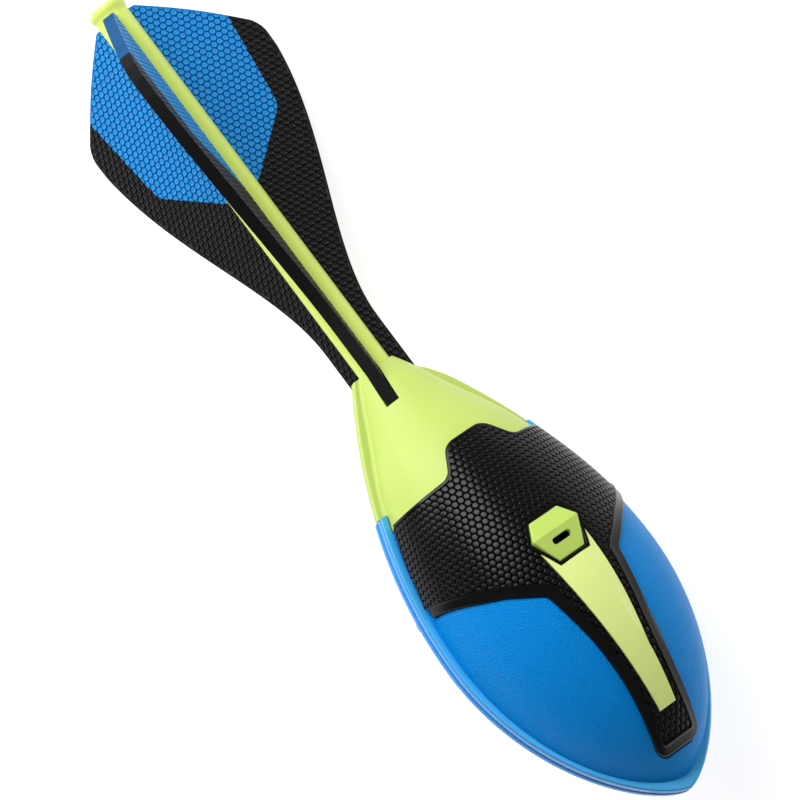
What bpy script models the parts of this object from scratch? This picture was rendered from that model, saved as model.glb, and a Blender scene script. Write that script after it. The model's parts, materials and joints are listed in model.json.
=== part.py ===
"""Whistling foam throwing football: a teardrop foam head on a slim finned tail.

Metres, +Z up. Every piece is first built in the toy's own frame: X runs along the toy from the
flat tail end (x = 0) to the nose tip, Z points out of the middle of the front panel, and the
plane where the two moulded halves meet is Z = 0. At the end the whole toy is laid down as it
rests on a table, one fin up, on its belly and the tips of the two lower fins.
"""
import math

import bmesh
import bpy
from mathutils import Matrix

# Lengths along the toy, from the tail end
SHELL_START = 0.1525         # where the foam head begins on the tail
TAIL_SHELL_LENGTH = 0.0425   # from there to the seam between the lime and the blue foam
SHOULDER_LENGTH = 0.0550     # from that seam to the widest place
NOSE_LENGTH = 0.0746         # from the widest place to the tip

# Head
PANEL_RADIUS = 0.0400        # round panels at the widest place
MOUTH_RADIUS = 0.0074        # where the shell closes in on the tail
RIM_PROUD = 0.0024           # how far the blue rim stands out of the panels
RIM_WIDTH = 0.0078           # both halves together
RIM_EDGE = 0.0007            # rounding of the rim's corners
NOSE_RIM_DEPTH = 0.0038      # from the end of the panels to the tip
FLANGE_WIDTH = 0.0038        # thin lime part of the rim, both halves together
FLANGE_FILLET = 0.0028
FLANGE_LEAD = 0.0035         # the flange's outline would start this far before the shell
LAP_LENGTH = 0.0058          # the lime foam reaches this far under the blue rim and the grip
SHELL_WALL = 0.0050
SEAM_GAP = 0.0003            # between the two moulded halves

# How full the outlines are: a higher power keeps them wide for longer towards the tail or the nose,
# and a lower second power rounds the end of the nose more
PANEL_TAIL_POWER = 1.85
RIM_TAIL_POWER = 2.0
PANEL_NOSE_POWERS = (2.05, 0.65)
RIM_NOSE_POWERS = (1.95, 0.7)

# Tail
SPINE_RADIUS = 0.0061
SPINE_BORE = 0.0030
SPINE_IN_HEAD = 0.0870       # length of the spine inside the head
GROOVE_DEPTH = 0.0016
CAP_LENGTH = 0.0048
CAP_RADIUS = 0.00675
CAP_FACE_RADIUS = 0.0046     # flat face at the very end
CAP_PLUG_LENGTH = 0.0120
TURNED_EDGE = 0.0006         # rounding of the tail's small turned edges

# Fins
FIN_THICKNESS = 0.0046
FIN_HEIGHT = 0.0414          # of the corner, from the toy's axis
FIN_CORNER_AT = 0.0323       # of the corner, from the tail end
FIN_CORNER_RADIUS = 0.0045
FIN_TAIL_STEP = 0.0020       # the slanted tail edge starts this far off the spine
FIN_TAIL_BULGE = 0.0009      # and bulges this much
FIN_SHOULDER = 0.0425        # where the outer edge starts to sweep in
FIN_SHOULDER_DROP = 0.0003   # lower there than at the corner
FIN_SWEEP_LEAVE = (0.38, 0.0045)   # the sweep leaves the shoulder: share of its run, and drop
FIN_SWEEP_ARRIVE = 0.28            # and arrives at the strip: share of its run
FIN_STRIP_AT = 0.1380        # where the narrow strip starts
FIN_STRIP_HEIGHT = 0.0114
FIN_IN_SHELL = 0.0140        # length of the strip inside the shell
FIN_EDGE = 0.0004
FLANGE_CLEAR_OF_FIN = 0.0070 # the flange over a fin starts this far along the shell
FLANGE_ROUNDING = 0.0050

# Grip, seen square to the panel
GRIP_INSET = 0.0010          # sunk in the foam
GRIP_PROUD = 0.0013          # standing out of it
GRIP_TAIL_EDGE = 0.0043      # behind it lies the seam between lime and blue
GRIP_TAB_LENGTH = 0.0098
GRIP_TAB_HALF_TOP = 0.0078
GRIP_TAB_HALF_BASE = 0.0146
GRIP_WING_LENGTH = 0.0325    # along the rim
GRIP_NECK_LENGTH = 0.0494    # to where the wings turn into the tongue
GRIP_NECK_HALF = 0.0150
GRIP_NECK_EASE = 0.0100      # the curve runs into the neck over this length
GRIP_WING_EASE = 0.0080      # and leaves the wing over this one
GRIP_TONGUE_LENGTH = 0.1132
GRIP_TONGUE_HALF_MID = 0.0108
GRIP_TONGUE_HALF_END = 0.0092
GRIP_TONGUE_CORNER = 0.0060
GRIP_TAB_CORNER = 0.0030
GRIP_RIM_CLEARANCE = 0.0016
GRIP_BORDER = 0.0042         # smooth raised border on the nose side
GRIP_FIELD_DEPTH = 0.0004    # the dotted field lies this much lower

# Lime accent in the grip
ACCENT_LENGTH = 0.0655
ACCENT_HALF_START = 0.0088
ACCENT_HALF_MID = 0.0080
ACCENT_HALF_END = 0.0032
ACCENT_BOW = 0.0010          # how far its middle bows to one side
ACCENT_PROUD = 0.0012

# Whistle, one in each panel
WHISTLE_AT = 0.0385          # ridge of the cap, from the seam between lime and blue
WHISTLE_TAIL = 0.0060        # tail edge of the cap, from the ridge
WHISTLE_NOSE = 0.0096        # nose edge of the cap, from the ridge
WHISTLE_HALF_TAIL = 0.0058
WHISTLE_HALF_MID = 0.0092
WHISTLE_HALF_NOSE = 0.0052
WHISTLE_RIDGE_PROUD = 0.0026
WHISTLE_TAIL_PROUD = 0.0014
WHISTLE_NOSE_PROUD = 0.0006
WHISTLE_WALL = 0.0014
WHISTLE_EDGE = 0.0004
WHISTLE_COLLAR = 0.0011      # black collar of the grip round the cap
SLOT_LENGTH = 0.0074
SLOT_WIDTH = 0.0023
SLOT_FROM_RIDGE = 0.0034
CHAMBER_RADIUS = 0.0074
CHAMBER_DEPTH = 0.0130
CHAMBER_WALL = 0.0012
CHAMBER_EDGE = 0.0010

CLEARANCE = 0.0003           # between pieces that seat on each other
OVERCUT = 0.0020             # cutters reach at least this far past what they cut
SAME_POINT = 0.000002        # points closer than this are one

# Straight sides of a turned piece: outside, and hidden inside the head or small
STEPS = 44
STEPS_HIDDEN = 24

# Places that follow from the sizes above
SEAM = SHELL_START + TAIL_SHELL_LENGTH
WIDEST = SEAM + SHOULDER_LENGTH
TIP = WIDEST + NOSE_LENGTH
PANEL_END = TIP - NOSE_RIM_DEPTH
RIM_RADIUS = PANEL_RADIUS + RIM_PROUD
FIN_ROOT = SPINE_RADIUS - GROOVE_DEPTH + CLEARANCE
FIN_START = CAP_LENGTH + CLEARANCE
FIN_END = SHELL_START + FIN_IN_SHELL
WHISTLE_X = SEAM + WHISTLE_AT
FIN_ANGLES = {"fin_top": -30.0, "fin_right": 90.0, "fin_left": 210.0}

LIME = (0.60, 0.86, 0.16)
BLUE = (0.0, 0.17, 0.60)
BLACK = (0.012, 0.012, 0.014)


def clear_scene():
    for obj in list(bpy.data.objects):
        bpy.data.objects.remove(obj, do_unlink=True)


def new_collection(name):
    group = bpy.data.collections.new(name)
    bpy.context.scene.collection.children.link(group)
    return group


def new_material(name, colour, roughness):
    mat = bpy.data.materials.new(name)
    mat.use_nodes = True
    shader = mat.node_tree.nodes["Principled BSDF"]
    shader.inputs["Base Color"].default_value = (*colour, 1.0)
    shader.inputs["Roughness"].default_value = roughness
    shader.inputs["Metallic"].default_value = 0.0
    return mat


def face_out(bm):
    bmesh.ops.recalc_face_normals(bm, faces=bm.faces)
    if bm.calc_volume(signed=True) < 0.0:
        bmesh.ops.reverse_faces(bm, faces=bm.faces)


def mesh_object(name, bm, group):
    mesh = bpy.data.meshes.new(name)
    face_out(bm)
    bm.to_mesh(mesh)
    bm.free()
    obj = bpy.data.objects.new(name, mesh)
    group.objects.link(obj)
    return obj


def finish(obj, colour, roughness=0.6, smooth_angle=35.0):
    obj.data.materials.clear()
    obj.data.materials.append(new_material(obj.name, colour, roughness))
    obj.data.shade_smooth()
    obj.data.set_sharp_from_angle(angle=math.radians(smooth_angle))
    return obj


def as_cutter(obj):
    obj.hide_render = True
    obj.display_type = "WIRE"
    return obj


def boolean(obj, other, operation):
    mod = obj.modifiers.new(operation.lower(), "BOOLEAN")
    mod.operation = operation
    mod.solver = "EXACT"
    mod.object = other
    return obj


def mirrored_half(points):
    """Closes an outline that is given for y >= 0, from the tail to the nose."""
    return points + [(x, -y) for x, y in reversed(points) if y > 0.0]


def bezier(start, leave, arrive, end, count):
    """Points of one cubic curve, both ends included."""
    points = []
    for i in range(count + 1):
        t = i / count
        s = 1.0 - t
        weights = (s ** 3, 3 * s * s * t, 3 * s * t * t, t ** 3)
        points.append(tuple(sum(w * p[k] for w, p in zip(weights, (start, leave, arrive, end)))
                            for k in (0, 1)))
    return points


def rounded(before, corner, after, radius, count=5):
    """Points of a rounded corner between two straight edges."""
    start = [b - c for b, c in zip(before, corner)]
    end = [a - c for a, c in zip(after, corner)]
    near = min(radius, 0.45 * math.hypot(*start), 0.45 * math.hypot(*end))
    first = [c + near * d / math.hypot(*start) for c, d in zip(corner, start)]
    last = [c + near * d / math.hypot(*end) for c, d in zip(corner, end)]
    leave = [a + 0.55 * (c - a) for a, c in zip(first, corner)]
    arrive = [a + 0.55 * (c - a) for a, c in zip(last, corner)]
    return bezier(first, leave, arrive, last, count)


def bulged(start, end, height, count):
    """Points from a start towards an end, the end left out, on a line that bulges to its left."""
    length = math.dist(start, end)
    along = [(e - s) / length for s, e in zip(start, end)]
    points = []
    for i in range(count):
        out = height * math.sin(math.pi * i / count)
        run = length * i / count
        points.append((start[0] + run * along[0] - out * along[1],
                       start[1] + run * along[1] + out * along[0]))
    return points


def grown(outline, distance):
    """Moves a closed outline outwards by a distance, inwards if it is negative."""
    count = len(outline)
    area = sum(outline[i][0] * outline[(i + 1) % count][1] - outline[(i + 1) % count][0] * outline[i][1]
               for i in range(count))
    side = 1.0 if area > 0 else -1.0
    moved = []
    for i in range(count):
        px, py = outline[i - 1]
        x, y = outline[i]
        nx, ny = outline[(i + 1) % count]
        before = math.hypot(x - px, y - py)
        after = math.hypot(nx - x, ny - y)
        n1 = ((y - py) / before * side, -(x - px) / before * side)
        n2 = ((ny - y) / after * side, -(nx - x) / after * side)
        share = max(1.0 + n1[0] * n2[0] + n1[1] * n2[1], 0.5)
        moved.append((x + distance * (n1[0] + n2[0]) / share, y + distance * (n1[1] + n2[1]) / share))
    return moved


def plate(name, outline, low, high, group):
    """A flat outline in the XY plane, as thick as from low to high along Z, as a mesh."""
    curve = bpy.data.curves.new(name, "CURVE")
    curve.dimensions = "2D"
    curve.fill_mode = "BOTH"
    curve.extrude = (high - low) / 2.0
    spline = curve.splines.new("POLY")
    spline.points.add(len(outline) - 1)
    for point, (x, y) in zip(spline.points, outline):
        point.co = (x, y, 0.0, 1.0)
    spline.use_cyclic_u = True
    drawn = bpy.data.objects.new(name + "_outline", curve)
    group.objects.link(drawn)
    drawn.location = (0.0, 0.0, (low + high) / 2.0)
    bpy.context.view_layer.update()
    graph = bpy.context.evaluated_depsgraph_get()
    mesh = bpy.data.meshes.new_from_object(drawn.evaluated_get(graph))
    bm = bmesh.new()
    bm.from_mesh(mesh)
    bm.transform(drawn.matrix_world)
    bmesh.ops.remove_doubles(bm, verts=bm.verts, dist=SAME_POINT)
    bpy.data.objects.remove(drawn, do_unlink=True)
    bpy.data.meshes.remove(mesh)
    return mesh_object(name, bm, group)


def turned(name, profile, steps, group):
    """Turns a profile of (x, radius) about the toy's axis. The profile runs from nose to tail."""
    bm = bmesh.new()
    verts = [bm.verts.new((radius, 0.0, x)) for x, radius in profile]
    for a, b in zip(verts, verts[1:]):
        bm.edges.new((a, b))
    if profile[0][1] > 0.0 and profile[-1][1] > 0.0:
        bm.edges.new((verts[-1], verts[0]))
    mesh = bpy.data.meshes.new(name)
    bm.to_mesh(mesh)
    bm.free()
    obj = bpy.data.objects.new(name, mesh)
    group.objects.link(obj)
    obj.rotation_euler = (0.0, math.radians(90.0), 0.0)
    screw = obj.modifiers.new("turn", "SCREW")
    screw.axis = "Z"
    screw.angle = 2.0 * math.pi
    screw.steps = steps
    screw.render_steps = steps
    screw.use_merge_vertices = True
    screw.merge_threshold = 0.00001
    screw.use_normal_calculate = True
    return obj


def applied(obj):
    """Fixes an object's modifiers and place into its mesh."""
    bpy.context.view_layer.update()
    graph = bpy.context.evaluated_depsgraph_get()
    mesh = bpy.data.meshes.new_from_object(obj.evaluated_get(graph))
    mesh.transform(obj.matrix_world)
    bm = bmesh.new()
    bm.from_mesh(mesh)
    bmesh.ops.remove_doubles(bm, verts=bm.verts, dist=SAME_POINT)
    face_out(bm)
    bm.to_mesh(mesh)
    bm.free()
    obj.modifiers.clear()
    obj.matrix_world = Matrix.Identity(4)
    obj.data = mesh
    return obj


def tail_fall(x, start, sharp):
    """Falls from 1 at the widest place to 0 at the start of an outline on the tail."""
    v = min(max((WIDEST - x) / (WIDEST - start), 0.0), 1.0)
    return 1.0 - v ** sharp


def nose_fall(x, end, sharp, soft):
    """Falls from 1 at the widest place to 0 at the end of the nose."""
    u = min(max((x - WIDEST) / (end - WIDEST), 0.0), 1.0)
    return (1.0 - u ** sharp) ** soft


def panel_radius(x):
    if x > WIDEST:
        return PANEL_RADIUS * nose_fall(x, PANEL_END, *PANEL_NOSE_POWERS)
    return MOUTH_RADIUS + (PANEL_RADIUS - MOUTH_RADIUS) * tail_fall(x, SHELL_START, PANEL_TAIL_POWER)


def rim_radius(x):
    if x > WIDEST:
        return RIM_RADIUS * nose_fall(x, TIP, *RIM_NOSE_POWERS)
    fall = tail_fall(x, SHELL_START - FLANGE_LEAD, RIM_TAIL_POWER)
    return MOUTH_RADIUS + (RIM_RADIUS - MOUTH_RADIUS) * fall


def flange_over_fin(x):
    """The lime flange on the side where a fin lies in the seam: it starts round, behind the fin."""
    start = SHELL_START + FLANGE_CLEAR_OF_FIN
    run = min(max((x - start) / FLANGE_ROUNDING, 0.0), 1.0)
    low = panel_radius(x)
    return low + (rim_radius(x) - low) * math.sqrt(1.0 - (1.0 - run) ** 2)


def skin(x, out):
    """Radius of a surface that lies a distance out of the panel, square to it."""
    step = 0.0005
    slope = (panel_radius(x + step) - panel_radius(x - step)) / (2.0 * step)
    steepest = 1.35
    return panel_radius(x) + out * math.hypot(1.0, min(abs(slope), steepest))


def flange_section(panel, edge):
    """One side of a half section of the tail shell, from the seam up to the panel's middle, as (y, z)."""
    width = FLANGE_WIDTH / 2.0
    flat_end = math.sqrt(panel ** 2 - width ** 2)
    edge = max(edge, flat_end + 1.2 * RIM_EDGE)
    points = [(edge, SEAM_GAP / 2.0), (edge, width - RIM_EDGE)]
    points.append((edge - 0.3 * RIM_EDGE, width - 0.3 * RIM_EDGE))
    points.append((edge - RIM_EDGE, width))
    room = ((edge - RIM_EDGE) ** 2 - flat_end ** 2) / (2.0 * (panel - width))
    fillet = min(FLANGE_FILLET, 0.9 * room)
    centre_y = math.sqrt((panel + fillet) ** 2 - (width + fillet) ** 2)
    lift = math.atan2(width + fillet, centre_y)
    for i in range(5):
        turn = math.radians(-90.0) - (math.radians(90.0) - lift) * i / 4.0
        points.append((centre_y + fillet * math.cos(turn), width + fillet + fillet * math.sin(turn)))
    for i in range(1, 10):
        turn = lift + (math.radians(90.0) - lift) * i / 9.0
        points.append((panel * math.cos(turn), panel * math.sin(turn)))
    return points


def tail_half(name, group):
    """Lofts the solid half of the lime foam. It lies above the seam plane, the fin's side at +Y."""
    bm = bmesh.new()
    rings = []
    for x in spaced(SHELL_START, SEAM + LAP_LENGTH, 14):
        right = flange_section(panel_radius(x), flange_over_fin(x))
        left = flange_section(panel_radius(x), rim_radius(x))
        ring = right + [(-y, z) for y, z in reversed(left[:-1])]
        rings.append([bm.verts.new((x, y, z)) for y, z in ring])
    for a, b in zip(rings, rings[1:]):
        count = len(a)
        for i in range(count):
            j = (i + 1) % count
            bm.faces.new((a[i], a[j], b[j], b[i]))
    bm.faces.new(list(reversed(rings[0])))
    bm.faces.new(rings[-1])
    return mesh_object(name, bm, group)


def spaced(start, end, count):
    return [start + (end - start) * i / count for i in range(count + 1)]


def towards_nose(end, count):
    """Stations from the widest place to an end, crowded where the outline turns."""
    return [WIDEST + (end - WIDEST) * math.sin(math.radians(90.0 * i / count)) for i in range(count + 1)]


def nose_half(name, tools, group):
    """Solid half of the blue foam: a turned dome joined with the flat rim that runs round it."""
    before = spaced(SEAM - OVERCUT, WIDEST, 5)
    profile = [(x, panel_radius(x)) for x in reversed(towards_nose(PANEL_END, 11))]
    profile += [(x, panel_radius(x)) for x in reversed(before[:-1])]
    profile.append((before[0], 0.0))
    dome = applied(turned(name, profile, STEPS, group))
    half = [(before[0], 0.0)] + [(x, rim_radius(x)) for x in before]
    half += [(x, rim_radius(x)) for x in towards_nose(TIP, 16)[1:]]
    rim = plate(name + "_rim", mirrored_half(half), -RIM_WIDTH / 2.0, RIM_WIDTH / 2.0, cutters)
    bevel = rim.modifiers.new("edge", "BEVEL")
    bevel.width = RIM_EDGE
    bevel.segments = 2
    bevel.limit_method = "ANGLE"
    bevel.angle_limit = math.radians(60.0)
    boolean(dome, as_cutter(applied(rim)), "UNION")
    boolean(dome, tools["upper_half"], "INTERSECT")
    return dome


def grip_outline():
    """Edge of the grip, seen square to the panel."""
    tail = SEAM + GRIP_TAIL_EDGE
    tab = tail - GRIP_TAB_LENGTH
    wing_end = tail + GRIP_WING_LENGTH
    neck = tail + GRIP_NECK_LENGTH
    end = tail + GRIP_TONGUE_LENGTH
    side = skin(wing_end, GRIP_PROUD) + OVERCUT
    half = [(tab, 0.0)]
    half += rounded((tab, 0.0), (tab, GRIP_TAB_HALF_TOP), (tail, GRIP_TAB_HALF_BASE), GRIP_TAB_CORNER)
    half += rounded((tab, GRIP_TAB_HALF_TOP), (tail, GRIP_TAB_HALF_BASE), (tail, side), GRIP_TAB_CORNER)
    half += [(tail, side), (wing_end, side)]
    half += nose_side(wing_end, neck, GRIP_NECK_HALF, GRIP_TONGUE_HALF_MID, end, GRIP_TONGUE_HALF_END)
    half += rounded((end - 2.0 * GRIP_TONGUE_CORNER, GRIP_TONGUE_HALF_END), (end, GRIP_TONGUE_HALF_END),
                    (end, -GRIP_TONGUE_HALF_END), GRIP_TONGUE_CORNER)
    half.append((end, 0.0))
    return mirrored_half(half)


def nose_side(wing_end, neck, neck_half, mid_half, end, end_half):
    """Edge from the wing round the neck and along the tongue, to where its end starts to round."""
    edge = panel_radius(wing_end)
    last = end - GRIP_TONGUE_CORNER - OVERCUT
    run = last - neck
    points = bezier((wing_end, edge), (wing_end + 0.5 * GRIP_WING_EASE, edge - GRIP_WING_EASE),
                    (neck - GRIP_NECK_EASE, neck_half + 1.2 * GRIP_NECK_EASE), (neck, neck_half), 8)
    points += bezier((neck, neck_half), (neck + run / 3.0, mid_half), (last - run / 3.0, end_half),
                     (last, end_half), 8)[1:]
    return points


def field_outline():
    """Edge of the dotted field: the grip's outline less its smooth border on the nose side."""
    tail = SEAM + GRIP_TAIL_EDGE
    start = tail - 2.0 * GRIP_TAB_LENGTH
    wing_end = tail + GRIP_WING_LENGTH - GRIP_BORDER
    neck = tail + GRIP_NECK_LENGTH - 0.7 * GRIP_BORDER
    neck_half = GRIP_NECK_HALF - 0.7 * GRIP_BORDER
    end = tail + GRIP_TONGUE_LENGTH - GRIP_BORDER
    end_half = GRIP_TONGUE_HALF_END - GRIP_BORDER
    side = skin(wing_end, GRIP_PROUD) + OVERCUT
    half = [(start, 0.0), (start, side), (wing_end, side)]
    half += nose_side(wing_end, neck, neck_half, GRIP_TONGUE_HALF_MID - 0.7 * GRIP_BORDER, end, end_half)
    half += [(end, 0.6 * end_half), (end, 0.0)]
    return mirrored_half(half)


def accent_outline():
    """Lime spear: wide beside the whistle, square at its nose end."""
    start = WHISTLE_X
    end = start + ACCENT_LENGTH
    half = [(start, 0.0)]
    half += bezier((start, ACCENT_HALF_START), (start + 0.27 * ACCENT_LENGTH, ACCENT_HALF_START),
                   (start + 0.43 * ACCENT_LENGTH, ACCENT_HALF_MID), (end, ACCENT_HALF_END), 10)
    half.append((end, 0.0))
    bowed = []
    for x, y in mirrored_half(half):
        bowed.append((x, y + ACCENT_BOW * math.sin(math.pi * (x - start) / ACCENT_LENGTH)))
    return bowed


def whistle_outline():
    """Irregular hexagon of the whistle cap."""
    tail = WHISTLE_X - WHISTLE_TAIL
    nose = WHISTLE_X + WHISTLE_NOSE
    return [(tail, WHISTLE_HALF_TAIL), (WHISTLE_X, WHISTLE_HALF_MID), (nose, WHISTLE_HALF_NOSE),
            (nose, -WHISTLE_HALF_NOSE), (WHISTLE_X, -WHISTLE_HALF_MID), (tail, -WHISTLE_HALF_TAIL)]


def skin_ring(name, low, high, group, longer=0.0):
    """A turned layer that follows the panels between two offsets from them."""
    start = SEAM + GRIP_TAIL_EDGE - GRIP_TAB_LENGTH - OVERCUT - longer
    end = SEAM + GRIP_TAIL_EDGE + GRIP_TONGUE_LENGTH + OVERCUT + longer
    stations = spaced(start, end, 17)
    outer = [(x, skin(x, high)) for x in reversed(stations)]
    inner = [(x, skin(x, low)) for x in stations]
    return applied(turned(name, outer + inner, STEPS, group))


def nose_shell(side, tools):
    obj = nose_half("nose_shell_" + side, tools, parts)
    for tool in ("nose_space", "grip_space", "whistle_space"):
        boolean(applied(obj), tools[tool], "DIFFERENCE")
    return obj


def tail_shell(side, tools):
    obj = tail_half("tail_shell_" + side, parts)
    for tool in ("rim_space", "core_space", "grip_space"):
        boolean(obj, tools[tool], "DIFFERENCE")
    return obj


def rim_space(group):
    """Ring that takes the lime flange away where the blue rim laps over it."""
    stations = spaced(SEAM - CLEARANCE, SEAM + LAP_LENGTH + OVERCUT, 5)
    outer = rim_radius(stations[-1]) + OVERCUT
    profile = [(stations[-1], outer), (stations[0], outer)]
    profile += [(x, panel_radius(x) + CLEARANCE) for x in stations]
    return as_cutter(applied(turned("rim_space", profile, STEPS, group)))


def core_radius(x):
    return skin(x, -SHELL_WALL)


def core_profile(extra):
    """Profile of the foam core, nose to tail, grown by a clearance."""
    end = PANEL_END - 1.35 * SHELL_WALL
    start = FIN_END + 2.0 * CLEARANCE
    stations = list(reversed(towards_nose(end, 7)))
    stations += spaced(WIDEST, start, 8)[1:]
    profile = [(end + extra, 0.0)]
    for x in stations[1:]:
        profile.append((x, core_radius(x) + extra))
    tail_x, tail_radius = profile[-1]
    profile[-1] = (tail_x - extra, tail_radius)
    return profile


def core_space(group):
    """Space in the lime shells for the core and, behind it, for the spine."""
    bore = SPINE_RADIUS + CLEARANCE
    behind = SHELL_START - OVERCUT
    profile = core_profile(CLEARANCE)
    profile += [(profile[-1][0], bore), (behind, bore), (behind, 0.0)]
    return as_cutter(applied(turned("core_space", profile, STEPS_HIDDEN, group)))


def nose_space(group):
    """Space in the blue shells for the core and, round it, for the end of the lime foam."""
    lap_end = SEAM + LAP_LENGTH + CLEARANCE
    behind = SEAM - 2.0 * OVERCUT
    profile = [(x, radius) for x, radius in core_profile(CLEARANCE) if x > lap_end + OVERCUT]
    profile.append((lap_end, core_radius(lap_end) + CLEARANCE))
    profile += [(x, panel_radius(x) + 2.0 * CLEARANCE) for x in spaced(lap_end, behind, 5)]
    profile.append((behind, 0.0))
    return as_cutter(applied(turned("nose_space", profile, STEPS, group)))


def foam_core(tools):
    profile = core_profile(0.0)
    profile.append((profile[-1][0], 0.0))
    obj = applied(turned("foam_core", profile, STEPS_HIDDEN, parts))
    boolean(obj, tools["spine_space"], "DIFFERENCE")
    for side in ("front", "back"):
        boolean(obj, tools["chamber_space_" + side], "DIFFERENCE")
    return finish(obj, (0.55, 0.55, 0.52), 0.9)


def tail_spine(tools):
    end = SHELL_START + SPINE_IN_HEAD
    profile = [(end, SPINE_BORE), (end, SPINE_RADIUS - TURNED_EDGE), (end - TURNED_EDGE, SPINE_RADIUS),
               (FIN_START, SPINE_RADIUS), (FIN_START, SPINE_BORE)]
    obj = applied(turned("tail_spine", profile, STEPS, parts))
    for name in FIN_ANGLES:
        boolean(obj, tools["groove_" + name], "DIFFERENCE")
    return finish(obj, LIME, 0.45)


def tail_cap():
    """Flared end cap with a plug that seats in the spine's bore."""
    plug = SPINE_BORE - CLEARANCE
    plug_end = CAP_LENGTH + CAP_PLUG_LENGTH
    neck = 0.9 * CAP_RADIUS
    profile = [(plug_end, 0.0), (plug_end, plug - TURNED_EDGE), (plug_end - TURNED_EDGE, plug),
               (CAP_LENGTH, plug), (CAP_LENGTH, neck), (CAP_LENGTH - TURNED_EDGE, neck)]
    profile += bezier((CAP_LENGTH - 2.0 * TURNED_EDGE, CAP_RADIUS), (0.45 * CAP_LENGTH, CAP_RADIUS),
                      (0.0, CAP_RADIUS - TURNED_EDGE), (0.0, CAP_FACE_RADIUS), 6)
    profile.append((0.0, 0.0))
    return finish(applied(turned("tail_cap", profile, STEPS_HIDDEN, parts)), LIME, 0.45)


def fin_outline():
    """Swept fin: slanted tail edge, rounded corner, long concave edge, narrow strip to the head."""
    step = (FIN_START, SPINE_RADIUS + FIN_TAIL_STEP)
    corner = (FIN_CORNER_AT, FIN_HEIGHT)
    shoulder = (FIN_SHOULDER, FIN_HEIGHT - FIN_SHOULDER_DROP)
    sweep = FIN_STRIP_AT - FIN_SHOULDER
    leave, drop = FIN_SWEEP_LEAVE
    turn = rounded(step, corner, shoulder, FIN_CORNER_RADIUS)
    points = [(FIN_START, FIN_ROOT)] + bulged(step, turn[0], FIN_TAIL_BULGE, 7) + turn
    points += bezier(shoulder, (FIN_SHOULDER + leave * sweep, shoulder[1] - drop),
                     (FIN_STRIP_AT - FIN_SWEEP_ARRIVE * sweep, FIN_STRIP_HEIGHT),
                     (FIN_STRIP_AT, FIN_STRIP_HEIGHT), 16)
    points += [(FIN_END, FIN_STRIP_HEIGHT), (FIN_END, FIN_ROOT)]
    return points


def fin(name):
    """One foam fin, built flat and then turned to its place round the spine."""
    obj = plate(name, fin_outline(), -FIN_THICKNESS / 2.0, FIN_THICKNESS / 2.0, parts)
    bevel = obj.modifiers.new("edge", "BEVEL")
    bevel.width = FIN_EDGE
    bevel.segments = 1
    bevel.limit_method = "ANGLE"
    bevel.angle_limit = math.radians(60.0)
    obj.rotation_euler = (math.radians(90.0 - FIN_ANGLES[name]), 0.0, 0.0)
    return finish(obj, BLACK, 0.85)


def fin_box(name, fin_name, start, end, low, high, group):
    """A straight cutter along one fin, as wide as the fin and its clearance."""
    half = FIN_THICKNESS / 2.0 + CLEARANCE
    obj = plate(name, [(start, low), (end, low), (end, high), (start, high)], -half, half, group)
    obj.rotation_euler = (math.radians(90.0 - FIN_ANGLES[fin_name]), 0.0, 0.0)
    return as_cutter(applied(obj))


def grip(side, tools):
    obj = skin_ring("grip_" + side, -GRIP_INSET, GRIP_PROUD, parts)
    boolean(obj, tools["grip_cut"], "INTERSECT")
    boolean(obj, tools["field_cut"], "DIFFERENCE")
    boolean(obj, tools["accent_hole"], "DIFFERENCE")
    boolean(obj, tools["whistle_hole"], "DIFFERENCE")
    return obj


def accent(side, tools):
    obj = skin_ring("accent_" + side, -GRIP_INSET, ACCENT_PROUD, parts)
    boolean(obj, tools["accent_cut"], "INTERSECT")
    boolean(obj, tools["collar_cut"], "DIFFERENCE")
    return obj


def cap_floor():
    """Height at which the cap's skirt ends, just clear of the core."""
    return core_radius(min(WHISTLE_X + WHISTLE_NOSE, WIDEST)) + CLEARANCE


def whistle_cap(side, tools):
    """Folded hexagonal cap: two flat faces meet at a ridge, with the air slot in the nose face."""
    outline = whistle_outline()
    bottom = cap_floor()
    ridge = panel_radius(WHISTLE_X) + WHISTLE_RIDGE_PROUD
    tail = panel_radius(WHISTLE_X - WHISTLE_TAIL) + WHISTLE_TAIL_PROUD
    nose = panel_radius(WHISTLE_X + WHISTLE_NOSE) + WHISTLE_NOSE_PROUD
    heights = (tail, ridge, nose, nose, ridge, tail)
    bm = bmesh.new()
    low = [bm.verts.new((x, y, bottom)) for x, y in outline]
    top = [bm.verts.new((x, y, z)) for (x, y), z in zip(outline, heights)]
    bm.faces.new(low)
    bm.faces.new((top[0], top[1], top[4], top[5]))
    bm.faces.new((top[1], top[2], top[3], top[4]))
    for i in range(6):
        j = (i + 1) % 6
        bm.faces.new((low[i], low[j], top[j], top[i]))
    obj = mesh_object("whistle_cap_" + side, bm, parts)
    bevel = obj.modifiers.new("edge", "BEVEL")
    bevel.width = WHISTLE_EDGE
    bevel.segments = 2
    bevel.limit_method = "ANGLE"
    bevel.angle_limit = math.radians(30.0)
    boolean(obj, tools["cap_hollow"], "DIFFERENCE")
    boolean(obj, tools["air_slot"], "DIFFERENCE")
    return obj


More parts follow.
